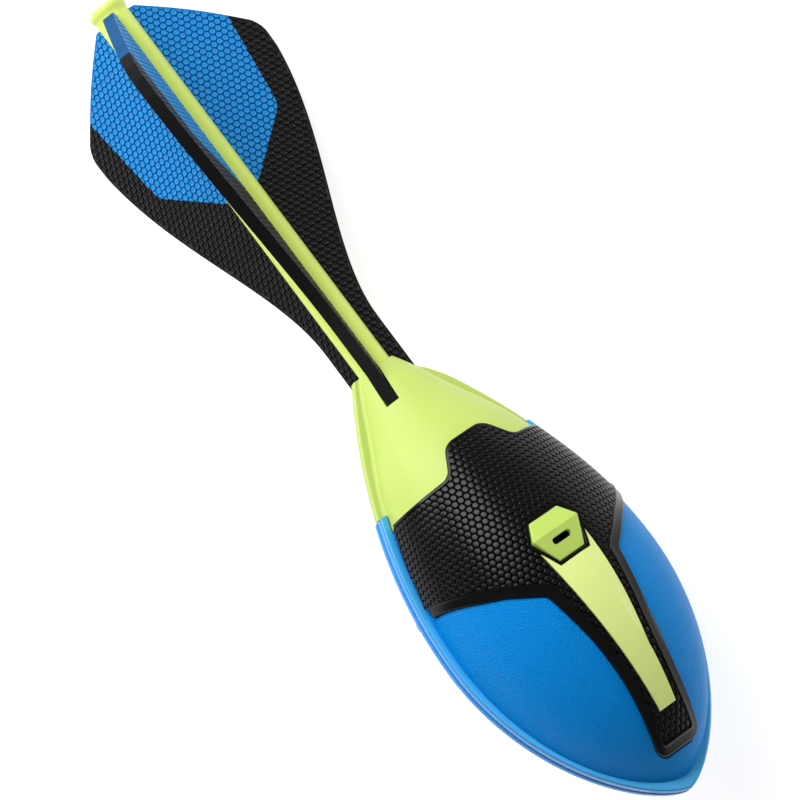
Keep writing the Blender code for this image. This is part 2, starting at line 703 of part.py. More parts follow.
def whistle_chamber(side):
    """Resonance cup behind the cap, open towards it."""
    top = cap_floor() - CLEARANCE
    bottom = top - CHAMBER_DEPTH
    inner = CHAMBER_RADIUS - CHAMBER_WALL
    profile = [(top, CHAMBER_RADIUS), (bottom + CHAMBER_EDGE, CHAMBER_RADIUS),
               (bottom, CHAMBER_RADIUS - CHAMBER_EDGE), (bottom, 0.0)]
    inside = [(bottom + CHAMBER_WALL, 0.0), (bottom + CHAMBER_WALL, inner), (top, inner)]
    bm = bmesh.new()
    verts = [bm.verts.new((radius, 0.0, z)) for z, radius in inside + profile]
    for a, b in zip(verts, verts[1:]):
        bm.edges.new((a, b))
    mesh = bpy.data.meshes.new("whistle_chamber_" + side)
    bm.to_mesh(mesh)
    bm.free()
    obj = bpy.data.objects.new("whistle_chamber_" + side, mesh)
    parts.objects.link(obj)
    obj.location = (whistle_centre(), 0.0, 0.0)
    screw = obj.modifiers.new("turn", "SCREW")
    screw.axis = "Z"
    screw.steps = STEPS_HIDDEN
    screw.render_steps = STEPS_HIDDEN
    screw.use_merge_vertices = True
    screw.merge_threshold = 0.00001
    return applied(obj)


def whistle_centre():
    return WHISTLE_X + (WHISTLE_NOSE - WHISTLE_TAIL) / 2.0


def slot_outline():
    centre = WHISTLE_X + SLOT_FROM_RIDGE
    reach = (SLOT_LENGTH - SLOT_WIDTH) / 2.0
    points = []
    for end in (1.0, -1.0):
        for i in range(9):
            turn = math.radians(180.0 * i / 8.0)
            points.append((centre + end * SLOT_WIDTH / 2.0 * math.cos(turn),
                           end * (reach + SLOT_WIDTH / 2.0 * math.sin(turn))))
    return points


def chamber_space(side, group):
    """Pocket in the core for one whistle chamber."""
    top = PANEL_RADIUS + OVERCUT
    bottom = cap_floor() - CHAMBER_DEPTH - 2.0 * CLEARANCE
    bpy.ops.mesh.primitive_cylinder_add(vertices=STEPS_HIDDEN, radius=CHAMBER_RADIUS + 2.0 * CLEARANCE,
                                        depth=top - bottom, rotation=(0.0, 0.0, math.pi / STEPS_HIDDEN),
                                        location=(whistle_centre(), 0.0, (top + bottom) / 2.0))
    obj = bpy.context.object
    obj.name = "chamber_space_" + side
    for old in list(obj.users_collection):
        old.objects.unlink(obj)
    group.objects.link(obj)
    return as_cutter(turn_to(side, applied(obj)))


def turn_to(side, obj):
    """The back half is the mirror image of the front half in the seam plane."""
    if side == "back":
        obj.data.transform(Matrix.Scale(-1.0, 4, (0.0, 0.0, 1.0)))
        obj.data.flip_normals()
    return obj


def shell_tools(group):
    """Cutters of the moulded halves of the head, and of the core inside them."""
    start = SEAM + SEAM_GAP / 2.0
    end = TIP + OVERCUT
    side = RIM_RADIUS + OVERCUT
    room = [(start, -side), (end, -side), (end, side), (start, side)]
    bore = SPINE_RADIUS + CLEARANCE
    reach = SHELL_START + SPINE_IN_HEAD + CLEARANCE
    spine = [(reach, 0.0), (reach, bore), (SHELL_START, bore), (SHELL_START, 0.0)]
    tools = {"upper_half": as_cutter(plate("upper_half", room, SEAM_GAP / 2.0, side, group)),
             "core_space": core_space(group),
             "nose_space": nose_space(group),
             "rim_space": rim_space(group),
             "spine_space": as_cutter(applied(turned("spine_space", spine, STEPS, group)))}
    for side_name in ("front", "back"):
        tools["chamber_space_" + side_name] = chamber_space(side_name, group)
    return tools


def panel_tools(group):
    """Cutters of the grip, the accent and the whistle cap in the front panel."""
    low = RIM_WIDTH / 2.0 + GRIP_RIM_CLEARANCE
    high = PANEL_RADIUS + 5.0 * OVERCUT
    deep = cap_floor() - OVERCUT
    clear = GRIP_PROUD + 1.5 * OVERCUT
    tools = {"grip_cut": as_cutter(plate("grip_cut", grip_outline(), low, high, group))}
    space = skin_ring("grip_space", -GRIP_INSET - CLEARANCE, clear, group, OVERCUT)
    wider = plate("grip_space_cut", grown(grip_outline(), CLEARANCE), low - CLEARANCE, high, group)
    boolean(space, as_cutter(wider), "INTERSECT")
    tools["grip_space"] = as_cutter(applied(space))

    field = skin_ring("field_cut", GRIP_PROUD - GRIP_FIELD_DEPTH, clear, group, OVERCUT)
    inside = plate("field_cut_outline", field_outline(), low - OVERCUT, high, group)
    collar = plate("collar_keep", grown(whistle_outline(), WHISTLE_COLLAR), deep, high, group)
    boolean(field, as_cutter(inside), "INTERSECT")
    boolean(field, as_cutter(collar), "DIFFERENCE")
    tools["field_cut"] = as_cutter(applied(field))
    tools["collar_cut"] = as_cutter(collar)

    tools["accent_cut"] = as_cutter(plate("accent_cut", accent_outline(), low, high, group))
    hole = plate("accent_hole", grown(accent_outline(), CLEARANCE), low, high, group)
    kept = plate("accent_hole_keep", grown(whistle_outline(), WHISTLE_COLLAR - CLEARANCE),
                 low - OVERCUT, high + OVERCUT, group)
    boolean(hole, as_cutter(kept), "DIFFERENCE")
    tools["accent_hole"] = as_cutter(applied(hole))

    gap = grown(whistle_outline(), CLEARANCE)
    hollow = grown(whistle_outline(), -WHISTLE_WALL)
    roof = panel_radius(WHISTLE_X + WHISTLE_NOSE) + WHISTLE_NOSE_PROUD - WHISTLE_WALL
    under = deep - SHELL_WALL
    tools["whistle_hole"] = as_cutter(plate("whistle_hole", gap, deep, high, group))
    tools["whistle_space"] = as_cutter(plate("whistle_space", gap, under, high, group))
    tools["cap_hollow"] = as_cutter(plate("cap_hollow", hollow, under, roof, group))
    tools["air_slot"] = as_cutter(plate("air_slot", slot_outline(), deep, high, group))
    return tools


def fin_tools(group):
    """Grooves for the fins in the spine, and pockets for their strips in the mouth of the head."""
    tools = {}
    end = FIN_END + CLEARANCE
    for name in FIN_ANGLES:
        tools["groove_" + name] = fin_box("groove_" + name, name, FIN_START - OVERCUT, end,
                                          SPINE_RADIUS - GROOVE_DEPTH, SPINE_RADIUS + OVERCUT, group)
    open_top = panel_radius(end) + OVERCUT
    pockets = {"fin_top": open_top, "fin_left": open_top, "fin_right": FIN_STRIP_HEIGHT + CLEARANCE}
    for name, top in pockets.items():
        tools["pocket_" + name] = fin_box("pocket_" + name, name, SHELL_START - OVERCUT, end,
                                          0.5 * SPINE_RADIUS, top, group)
    return tools


def build(group):
    tools = shell_tools(group) | panel_tools(group) | fin_tools(group)
    colours = {"nose_shell": (BLUE, 0.55), "tail_shell": (LIME, 0.55), "grip": (BLACK, 0.5),
               "accent": (LIME, 0.4), "whistle_cap": (LIME, 0.35), "whistle_chamber": (BLACK, 0.5)}
    makers = {"nose_shell": nose_shell, "grip": grip, "accent": accent, "whistle_cap": whistle_cap}
    for kind, maker in makers.items():
        for side in ("front", "back"):
            obj = turn_to(side, applied(maker(side, tools)))
            finish(obj, *colours[kind])
    for side in ("front", "back"):
        finish(turn_to(side, whistle_chamber(side)), *colours["whistle_chamber"])
        shell = turn_to(side, applied(tail_shell(side, tools)))
        own_fin = "fin_top" if side == "front" else "fin_left"
        for name in (own_fin, "fin_right"):
            boolean(shell, tools["pocket_" + name], "DIFFERENCE")
        finish(shell, *colours["tail_shell"])
    foam_core(tools)
    tail_spine(tools)
    tail_cap()
    for name in FIN_ANGLES:
        fin(name)


def world_points(objects):
    bpy.context.view_layer.update()
    graph = bpy.context.evaluated_depsgraph_get()
    points = []
    for obj in objects:
        ready = obj.evaluated_get(graph)
        mesh = ready.to_mesh()
        points += [obj.matrix_world @ vert.co for vert in mesh.vertices]
        ready.to_mesh_clear()
    return points


def rest_pitch(points):
    """Angle that brings the belly and the two lower fin tips to the same height."""
    tail = [p for p in points if p.x < SHELL_START]
    head = [p for p in points if p.x >= SHELL_START]
    low, high = 0.0, math.radians(25.0)
    for _ in range(40):
        pitch = (low + high) / 2.0
        lowest = [min(p.x * math.sin(pitch) + p.z * math.cos(pitch) for p in side) for side in (tail, head)]
        if lowest[0] > lowest[1]:
            low = pitch
        else:
            high = pitch
    return pitch


def lay_down(objects):
    """Parents the pieces to one empty and lays the toy on the table, one fin up, nose along +X."""
    roll = Matrix.Rotation(math.radians(FIN_ANGLES["fin_top"]), 4, "X")
    pitch = rest_pitch([roll @ p for p in world_points(objects)])
    turn = Matrix.Rotation(-pitch, 4, "Y") @ roll
    points = [turn @ p for p in world_points(objects)]
    low = [min(p[k] for p in points) for k in range(3)]
    high = [max(p[k] for p in points) for k in range(3)]
    shift = Matrix.Translation((-(low[0] + high[0]) / 2.0, -(low[1] + high[1]) / 2.0, -low[2]))
    holder = bpy.data.objects.new("rest_pose", None)
    parts.objects.link(holder)
    for obj in objects + list(cutters.objects):
        obj.parent = holder
    holder.matrix_world = shift @ turn
    bpy.context.view_layer.update()


clear_scene()
parts = new_collection("whistling_throwing_football")
cutters = new_collection("cutters")
build(cutters)
lay_down(list(parts.objects))
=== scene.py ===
"""Looks of a whistling foam throwing football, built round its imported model.

Metres. Shapes are worked out in the toy's own frame, as the model's source does it: X runs from the
flat tail end to the nose, Z points out of the middle of the front panel, and the two moulded halves
meet at Z = 0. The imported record's two mounts say where that frame lies at rest. The grip, the accent
and their relief are first drawn flat as (u, v, w): u along the toy, v round the panel from its
middle, w out of it.
"""
import json
import math

import bmesh
import bpy
import numpy as np
from mathutils import Matrix, Vector


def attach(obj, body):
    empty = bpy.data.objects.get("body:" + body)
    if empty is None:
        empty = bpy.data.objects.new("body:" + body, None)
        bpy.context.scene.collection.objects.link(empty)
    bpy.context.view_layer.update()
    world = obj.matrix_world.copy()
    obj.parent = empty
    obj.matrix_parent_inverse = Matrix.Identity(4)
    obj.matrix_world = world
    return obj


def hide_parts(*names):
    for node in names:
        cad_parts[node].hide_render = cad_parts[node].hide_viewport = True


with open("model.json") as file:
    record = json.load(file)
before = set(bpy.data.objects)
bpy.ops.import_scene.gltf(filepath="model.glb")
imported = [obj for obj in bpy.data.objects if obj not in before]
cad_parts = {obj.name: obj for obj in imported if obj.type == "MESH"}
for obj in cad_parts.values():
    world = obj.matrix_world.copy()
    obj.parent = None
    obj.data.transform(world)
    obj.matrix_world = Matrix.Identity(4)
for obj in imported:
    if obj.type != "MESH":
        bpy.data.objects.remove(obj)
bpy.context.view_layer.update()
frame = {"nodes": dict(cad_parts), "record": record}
MOUNTS = {mount["name"]: mount for mount in frame["record"]["mounts"]}

# Head, along the toy and across it
SHELL_START = 0.1525
SEAM = 0.1950                # where blue and lime foam meet on the outside
WIDEST = 0.2500
TIP = 0.3246
PANEL_END = 0.3208
PANEL_RADIUS = 0.0400
RIM_RADIUS = 0.0424
MOUTH_RADIUS = 0.0074
PANEL_NOSE_POWERS = (2.05, 0.65)
PANEL_TAIL_POWER = 1.85
RIM_NOSE_POWERS = (1.95, 0.7)
RIM_TAIL_POWER = 2.0
SLOPE_STEP = 0.0005
STEEPEST = 1.35              # a layer on the panel grows no thicker where the panel is steeper
HALF_GAP = 0.00015           # from the plane of the halves to each of them
LAP_LENGTH = 0.0058          # of the lime foam inside the blue
CLEARANCE = 0.0003
OVERCUT = 0.0020             # how far a cutter runs past what it cuts
OUTSIDE = 0.050              # a radius outside the head
FAR = 0.1
HEAD_STEPS = 160             # points round the head

# Blue rim
RIM_HALF = 0.0039
RIM_SIDE = ((0.0009, -0.0010), (0.0009, 0.0), (0.0003, 0.0004), (0.0, 0.0011))  # (inset, height)
RIM_DRAFT = 0.0001
RIM_EDGE = 0.0007            # radius of its edge
RIM_CREST_DROP = 0.00005
RIM_FALL = 0.0006            # how far its top falls from the crest to the panel
RIM_FALL_WIDTH = 0.0045
RIM_PAINTED_HIGHLIGHT_FROM = 0.00034     # its painted highlight line begins this far below the crest
RIM_PAINTED_HIGHLIGHT_TO = 0.00014
RIM_TOLERANCE = 0.00001
DOME_LEAD = 0.0160           # the nose's dome starts this far behind the seam, before it is cut

# Lime flange, in line with the rim
FLANGE_LEAD = 0.0035
FLANGE_HALF = 0.0019
FLANGE_FILLET = 0.0017
FLANGE_LEAST_FILLET = 0.00005
FLANGE_FILLET_SHARE = 0.9    # of the room there is for it
FLANGE_CORNER = 0.0006
FLANGE_LEAST_REACH = 1.2 * FLANGE_CORNER
FLANGE_CLEAR_OF_FIN = 0.0070
FLANGE_ROUNDING = 0.0120
VALLEY_DEPTH = 0.0009        # the lime panel is this much lower half way along its flange
VALLEY_SHARE = 0.9           # of the lime panel's length

# Tail
SPINE_RADIUS = 0.0061
SPINE_START = 0.00482
SPINE_END = 0.2395
TAIL_STEPS = 72              # points round the spine and its cap
CAP_LENGTH = 0.0048
CAP_RADIUS = 0.00675
CAP_FACE_RADIUS = 0.0046
CAP_FLARE = ((0.0034, SPINE_RADIUS), (0.0030, CAP_RADIUS))     # handles of the trumpet's curve
CAP_LIP = 0.0016
CAP_ROUND = ((0.0005, CAP_RADIUS), (0.0, CAP_RADIUS - 0.0008))  # handles of its rounding to the face

# Fins, as (x, height over the toy's axis)
FIN_THICKNESS = 0.0046
FIN_DOT_RISE = 0.00028
FIN_FLAT_HALF = FIN_THICKNESS / 2.0 - FIN_DOT_RISE
FIN_SKIN = 0.0001            # the edge of the relief lies this far over the flat between the dots
FIN_FADE = 0.0012            # the relief fades over this width along the outline
FIN_FADE_LEVEL = 0.3         # share of that width that is level
FIN_CUTTER_HALF = 0.0040
FIN_CUT_NORMAL = 0.35        # faces that turn further from the sheet belong to the cut edge
FIN_HEIGHT = 0.0414
FIN_CORNER_AT = 0.0323
FIN_CORNER_RADIUS = 0.0045
FIN_TAIL_STEP = 0.0020
FIN_TAIL_BULGE = 0.0009
FIN_TAIL_POINTS = 14
FIN_SHOULDER = 0.0425
FIN_SHOULDER_DROP = 0.0003
FIN_SWEEP_LEAVE = (0.38, -0.0045)    # handles of the swept edge: share of its length, and height
FIN_SWEEP_ARRIVE = (0.28, 0.0)
FIN_STRIP_AT = 0.1380
FIN_STRIP_HEIGHT = 0.0114
FIN_START = 0.0051
FIN_END = 0.1665
FIN_ROOT = 0.0048
FIN_PIT_FLOOR = 0.0030       # of the pockets for the strips in the mouth of the head
FIN_TOP_PIT = 0.0300
FIN_ANGLES = {"fin_top": -30.0, "fin_right": 90.0, "fin_left": 210.0}

# Grip
GRIP_PROUD = 0.0013
GRIP_SPACE = (-0.0013, 0.0040)       # heights between which the foam is cut away for it
GRIP_ROOM = 0.0004
GRIP_TAIL = 0.1993
GRIP_SIDE_HEIGHT = 0.0055    # it ends this high over the plane of the halves
TAB = 0.1895
TAB_HALF_TOP = 0.0078
TAB_HALF_BASE = 0.0146
TAB_CORNER = 0.0030
TAB_FOOT_CORNER = 0.0025
WING_END = 0.2318
WING_CORNER = 0.0030
WING_LEAVE = (0.0005, -0.0120)       # handles of the wing's nose edge, from its two ends
WING_ARRIVE = (-0.0030, 0.0070)
WING_FOOT = (0.2420, 0.0253)
NECK = 0.2496
NECK_HALF = 0.0153
NECK_CORNER = 0.0014
TONGUE_MID = (0.2700, 0.0113)
TONGUE_HALF_END = 0.0092
TONGUE_BEND = ((0.2830, TONGUE_HALF_END + 0.0004), (0.2900, TONGUE_HALF_END))
TONGUE_END = 0.3125
TONGUE_STRAIGHT = 0.0100     # its sides run straight over this length
TONGUE_CORNER = 0.0060
TONGUE_CORNER_LEAD = 0.0120
LINE_STEP = 0.0010           # between the points of a resampled line
SIDE_STEPS = 14

# Border of the grip, on its nose side and on its tail side, and the collar round the whistle
BORDER = 0.0042
BORDER_HEIGHT = 0.0012
BORDER_EDGE = 0.0006
BEAD = 0.0005
BEAD_SECTION = ((2.4, -0.3), (1.9, 0.0), (1.2, 0.6), (0.5, 0.6))     # (inset, height), in beads
INNER_CHAMFER = (0.0001, 0.0002)
BORDER_NARROWING = 0.18      # share by which it gets narrower along the tongue
BORDER_NARROWS_OVER = 0.0200
BORDER_END = 0.0035          # length over which its ends round down
TAIL_BORDER = 0.0011
TAIL_BORDER_EDGE = 0.0004
TAIL_BORDER_END = 0.0020
DOTS_FROM = 0.95             # share of the border's width where the dots begin under it
TAIL_DOTS_FROM = 0.9
COLLAR = 0.0011
COLLAR_HEIGHT = 0.0017
COLLAR_EDGE = 0.0003
COLLAR_STEP = 0.0008
STRIP_FOOT = -0.0010
LEAST_RISE = 0.02

# Whistle and accent, seen square to the panel
WHISTLE_X = 0.2335
WHISTLE_TAIL = 0.0060
WHISTLE_NOSE = 0.0096
WHISTLE_HALF_TAIL = 0.0058
WHISTLE_HALF_MID = 0.0092
WHISTLE_HALF_NOSE = 0.0052
WHISTLE_SPACE = (0.020, 0.060)       # heights between which the foam is cut away for the cap
ACCENT_START = WHISTLE_X + 0.0002
ACCENT_END = 0.2997
ACCENT_BOWED = ((WHISTLE_X, 0.0090), (0.2560, 0.0092), (0.2680, 0.0060), (0.2830, 0.0041))
ACCENT_BOWED_END = (ACCENT_END, 0.0037)
ACCENT_STRAIGHT = ((WHISTLE_X, -0.0094), (0.2560, -0.0073), (0.2780, -0.0050), (ACCENT_END, -0.0031))
ACCENT_ROOM = 0.0004
ACCENT_HEIGHT = 0.0012
ACCENT_CHAMFER = 0.0003
ACCENT_RIDGE = (0.2430, 0.0011)      # point of the line along which it is folded
ACCENT_RIDGE_SLOPE = 0.066
ACCENT_RIDGE_MARGIN = 0.0004
ACCENT_RISE = 0.0010
ACCENT_RISE_END = 0.35               # share of the rise that is left at the nose end
ACCENT_RISE_LENGTH = 0.030

# Raised dots: (radius, height, points) of each ring, from the foot to the top
DOT_PITCH = 0.0024
GRIP_DOT = ((0.00116, -0.00010, 12), (0.00106, 0.00020, 12), (0.00094, 0.00029, 12),
            (0.00080, 0.00031, 12))
FIN_DOT = ((0.00112, -0.00012, 12), (0.00096, 0.00020, 12), (0.00062, FIN_DOT_RISE, 12),
           (0.00033, 0.00015, 6))
DOT_FIELD_U = (TAB - 0.0030, TONGUE_END + 0.0030)
DOT_FIELD_V = (-0.066, 0.066)
DOT_FIELD_LOW = -0.0018
DOT_FIELD_LIFT = 0.0008
DRAWING_LOW = -0.0040        # heights of cutters in the flat drawing
DRAWING_HIGH = 0.0060

# Blue print on the fins: below one line and tailwards of another, (x, height over the toy's axis)
PRINT_TOP = 0.03633
PRINT_TOP_SLOPE = 0.1304
PRINT_END = 0.08341
PRINT_END_SLOPE = 0.8214
PRINT_ROUNDING = 0.0035
PRINT_AND_SHADE_SHARPNESS = 5000.0     # per metre, across its edge, and across the edge of the painted shade round each dot

# Sheet foam of the fins: roughness and gloss, of its faces and of its cut edges
SHEET_FINISH = (0.36, 0.3)
CUT_FINISH = (0.60, 0.1)
CUT_CELLS = 1400.0           # per metre
CUT_DEPTH = 0.00012
CUT_LIGHT = (1.6, -0.55)     # factor and addend that turn the cells into light print
CUT_COVER = (-1.4, 1.2)      # and into the print that is left

# Camera: the toy's place in its view, and the view's scale
AXIS_TURN = math.radians(-53.216)    # direction of the toy's axis in the picture
AXIS_LIFT = math.radians(7.504)      # how much the nose comes towards the camera
TOP_FIN_TURN = math.radians(-7.416)  # of the top fin, from pointing at the camera
CAMERA_DISTANCE = 1.534
AIM = Vector((0.1625, 0.0, 0.0))     # point of the axis near the picture's middle
AIM_OFFSET = Vector((-0.00219, 0.00214, 0.0))
PIXELS_PER_METRE = 3037.1
PICTURE = 800
SENSOR = 36.0
CLIP = (0.05, 20.0)

# Light
WHITE = (1.0, 1.0, 1.0)
WORLD_STRENGTH = 0.22
FLOOR_SIZE = 3.0
FLOOR_GREY = (0.45, 0.45, 0.45)
FLOOR_ROUGHNESS = 0.9
FLOOR_GLOW = 0.84
LIGHTS = (                   # name, (left, up, towards) as the camera sees it, size, power, colour
    ("key", (0.75, 0.68, 0.98), 0.90, 19.0, WHITE),
    ("left", (0.90, 0.30, 0.30), 0.30, 3.2, WHITE),
    ("right", (-0.90, 0.65, 0.60), 0.35, 0.6, WHITE),
    ("low", (-0.95, 0.20, 0.17), 0.22, 1.4, (1.0, 0.80, 0.58)))

# Working values
CORNER_SHARE = 0.45          # a rounded corner takes at most this share of an edge
CORNER_HANDLE = 0.55
MITRE_LEAST = 0.5
WELD = 0.000002
GRID = 0.000001
NO_LENGTH = 1e-7
BEND_CELL = 0.0025
SMOOTH_ANGLE = 35.0
GRIP_SMOOTH_ANGLE = 50.0
ACCENT_SMOOTH_ANGLE = 12.0
FIN_SMOOTH_ANGLE = 32.0


def toy_matrix():
    """Place of the toy's own frame, from the record's mounts."""
    along = -Vector(MOUNTS["tail_face"]["axis"]).normalized()
    out = Vector(MOUNTS["hand_grip"]["axis"])
    out = (out - along * out.dot(along)).normalized()
    turn = Matrix((along, out.cross(along), out)).transposed().to_4x4()
    return Matrix.Translation(Vector(MOUNTS["tail_face"]["pos_m"])) @ turn


TOY = toy_matrix()


# Outlines of the head


def held(value):
    """A share held between 0 and 1."""
    return min(max(value, 0.0), 1.0)


def nose_fall(x, end, powers):
    """Falls from 1 at the widest place to 0 at the end of the nose."""
    sharp, soft = powers
    return (1.0 - held((x - WIDEST) / (end - WIDEST)) ** sharp) ** soft


def tail_fall(x, start, power):
    """Falls from 1 at the widest place to 0 at the start of an outline on the tail."""
    return 1.0 - held((WIDEST - x) / (WIDEST - start)) ** power


def panel_radius(x):
    if x > WIDEST:
        return PANEL_RADIUS * nose_fall(x, PANEL_END, PANEL_NOSE_POWERS)
    fall = tail_fall(x, SHELL_START, PANEL_TAIL_POWER)
    return MOUTH_RADIUS + (PANEL_RADIUS - MOUTH_RADIUS) * fall


def rim_radius(x):
    if x > WIDEST:
        return RIM_RADIUS * nose_fall(x, TIP, RIM_NOSE_POWERS)
    fall = tail_fall(x, SHELL_START - FLANGE_LEAD, RIM_TAIL_POWER)
    return MOUTH_RADIUS + (RIM_RADIUS - MOUTH_RADIUS) * fall


def skin(x, out):
    """Radius of a surface that lies a distance out of the panel, square to it."""
    slope = (panel_radius(x + SLOPE_STEP) - panel_radius(x - SLOPE_STEP)) / (2.0 * SLOPE_STEP)
    return panel_radius(x) + out * math.hypot(1.0, min(abs(slope), STEEPEST))


# Lines


def spaced(start, end, count):
    return [start + (end - start) * i / count for i in range(count + 1)]


def quarter(count):
    """Cosines and sines of even steps over a quarter turn, its start left out."""
    turns = [math.radians(90.0 * i / count) for i in range(1, count + 1)]
    return [(math.cos(turn), math.sin(turn)) for turn in turns]


def bezier(start, leave, arrive, end, count):
    """Points of one cubic curve, both ends included."""
    points = []
    for i in range(count + 1):
        t = i / count
        s = 1.0 - t
        weights = (s ** 3, 3 * s * s * t, 3 * s * t * t, t ** 3)
        points.append(tuple(sum(w * p[k] for w, p in zip(weights, (start, leave, arrive, end)))
                            for k in (0, 1)))
    return points


def rounded(before, corner, after, radius, count=8):
    """Points of a rounded corner between two straight edges."""
    start = [b - c for b, c in zip(before, corner)]
    end = [a - c for a, c in zip(after, corner)]
    near = min(radius, CORNER_SHARE * math.hypot(*start), CORNER_SHARE * math.hypot(*end))
    first = [c + near * d / math.hypot(*start) for c, d in zip(corner, start)]
    last = [c + near * d / math.hypot(*end) for c, d in zip(corner, end)]
    leave = [a + CORNER_HANDLE * (c - a) for a, c in zip(first, corner)]
    arrive = [a + CORNER_HANDLE * (c - a) for a, c in zip(last, corner)]
    return bezier(first, leave, arrive, last, count)


def mirrored(points):
    """The line's mirror image over the toy's middle, run backwards."""
    return [(x, -y) for x, y in reversed(points)]


def resampled(points, step, closed=False):
    """The same line with points at even steps, its corners kept."""
    line = list(points) + ([points[0]] if closed else [])
    result = []
    for a, b in zip(line, line[1:]):
        length = math.dist(a, b)
        if length < NO_LENGTH:
            continue
        count = max(1, round(length / step))
        result += [tuple(p + (q - p) * i / count for p, q in zip(a, b)) for i in range(count)]
    if not closed:
        result.append(line[-1])
    return result


def inward_normals(points, closed=False):
    """Unit normals of a line, to its right."""
    count = len(points)
    normals = []
    for i in range(count):
        before = points[i - 1] if closed or i > 0 else points[i]
        after = points[(i + 1) % count] if closed or i < count - 1 else points[i]
        dx, dy = after[0] - before[0], after[1] - before[1]
        length = math.hypot(dx, dy)
        normals.append((dy / length, -dx / length))
    return normals


def inset(path, distances):
    """An open line moved inwards, by a distance for each of its points."""
    return [(u + nu * distance, v + nv * distance)
            for (u, v), (nu, nv), distance in zip(path, inward_normals(path), distances)]


def grown(outline, distance):
    """Moves a closed outline outwards by a distance, inwards if it is negative."""
    area = sum(a[0] * b[1] - b[0] * a[1] for a, b in zip(outline, outline[1:] + outline[:1]))
    side = 1.0 if area > 0 else -1.0
    count = len(outline)
    moved = []
    for i in range(count):
        px, py = outline[i - 1]
        x, y = outline[i]
        nx, ny = outline[(i + 1) % count]
        before = math.hypot(x - px, y - py)
        after = math.hypot(nx - x, ny - y)
        n1 = ((y - py) / before * side, -(x - px) / before * side)
        n2 = ((ny - y) / after * side, -(nx - x) / after * side)
        share = max(1.0 + n1[0] * n2[0] + n1[1] * n2[1], MITRE_LEAST)
        moved.append((x + distance * (n1[0] + n2[0]) / share,
                      y + distance * (n1[1] + n2[1]) / share))
    return moved


def height_at(line, x):
    """Y of a line that runs towards the nose, at one station."""
    for a, b in zip(line, line[1:]):
        if a[0] <= x <= b[0]:
            return a[1] + (b[1] - a[1]) * (x - a[0]) / (b[0] - a[0])
    return line[-1][1]


# Bodies


def linked(name, data):
    """New object in the scene, for a mesh, a camera or a light."""
    obj = bpy.data.objects.new(name, data)
    bpy.context.scene.collection.objects.link(obj)
    return obj


def to_object(name, bm):
    mesh = bpy.data.meshes.new(name)
    bmesh.ops.recalc_face_normals(bm, faces=bm.faces)
    if bm.calc_volume(signed=True) < 0.0:
        bmesh.ops.reverse_faces(bm, faces=bm.faces)
    bm.to_mesh(mesh)
    bm.free()
    return linked(name, mesh)


def lofted(name, rings, closed=False):
    """Skins a row of equal closed rings of points; the row is closed too, or gets a face at each end."""
    bm = bmesh.new()
    made = [[bm.verts.new(p) for p in ring] for ring in rings]
    pairs = list(zip(made, made[1:]))
    if closed:
        pairs.append((made[-1], made[0]))
    for a, b in pairs:
        for i in range(len(a)):
            j = (i + 1) % len(a)
            bm.faces.new((a[i], a[j], b[j], b[i]))
    if not closed:
        bm.faces.new(list(reversed(made[0])))
        bm.faces.new(made[-1])
    return to_object(name, bm)


def prism(name, outline, low, high):
    return lofted(name, [[(x, y, z) for x, y in outline] for z in (low, high)])


def circle(x, radius, steps):
    """Points round the toy's axis at one station, or the one point on the axis."""
    if radius <= 0.0:
        return [(x, 0.0, 0.0)]
    turns = [2 * math.pi * i / steps for i in range(steps)]
    return [(x, radius * math.sin(turn), radius * math.cos(turn)) for turn in turns]


def turned(name, profile, steps):
    """Turns a profile of (x, radius) about the toy's axis. It starts and ends on the axis."""
    bm = bmesh.new()
    rings = [[bm.verts.new(p) for p in circle(x, radius, steps)] for x, radius in profile]
    for a, b in zip(rings, rings[1:]):
        for i in range(steps):
            j = (i + 1) % steps
            if len(a) == 1:
                bm.faces.new((a[0], b[j], b[i]))
            elif len(b) == 1:
                bm.faces.new((a[i], a[j], b[0]))
            else:
                bm.faces.new((a[i], a[j], b[j], b[i]))
    return to_object(name, bm)


def cut(obj, tools, operation="DIFFERENCE"):
    """Boolean with each tool in turn, fixed into the mesh; the tools are used up."""
    for tool in tools:
        mod = obj.modifiers.new("cut", "BOOLEAN")
        mod.operation = operation
        mod.solver = "EXACT"
        mod.object = tool
        graph = bpy.context.evaluated_depsgraph_get()
        mesh = bpy.data.meshes.new_from_object(obj.evaluated_get(graph))
        obj.modifiers.clear()
        old = obj.data
        obj.data = mesh
        bpy.data.meshes.remove(old)
        bm = bmesh.new()
        bm.from_mesh(mesh)
        bmesh.ops.remove_doubles(bm, verts=bm.verts, dist=WELD)
        bm.to_mesh(mesh)
        bm.free()
    for tool in tools:
        bpy.data.objects.remove(tool, do_unlink=True)
    return obj


def joined(name, objects):
    """One object from several closed bodies: the first has the first material, the others the second."""
    bm = bmesh.new()
    for i, obj in enumerate(objects):
        for polygon in obj.data.polygons:
            polygon.material_index = min(i, 1)
        bm.from_mesh(obj.data)
    mesh = bpy.data.meshes.new(name)
    bm.to_mesh(mesh)
    bm.free()
    for obj in objects:
        bpy.data.objects.remove(obj, do_unlink=True)
    return linked(name, mesh)


def reshaped(obj, change):
    """Moves every point of a mesh by a function of its place."""
    for vert in obj.data.vertices:
        vert.co = change(*vert.co)
    return obj


def wrapped(u, v, w):
    """Lays the flat drawing on the panel."""
    radius = skin(u, w)
    turn = v / skin(u, GRIP_PROUD)
    return (u, radius * math.sin(turn), radius * math.cos(turn))


def flattened(x, y):
    """The flat drawing's (u, v) of a point that is seen square to the panel at (x, y)."""
    radius = skin(x, GRIP_PROUD)
    return (x, radius * math.asin(max(-1.0, min(1.0, y / radius))))


def drawn(name, outline):
    """Cutter for the flat drawing."""
    return prism(name, outline, DRAWING_LOW, DRAWING_HIGH)


def copy_of(obj, name):
    mesh = obj.data.copy()
    mesh.name = name
    return linked(name, mesh)


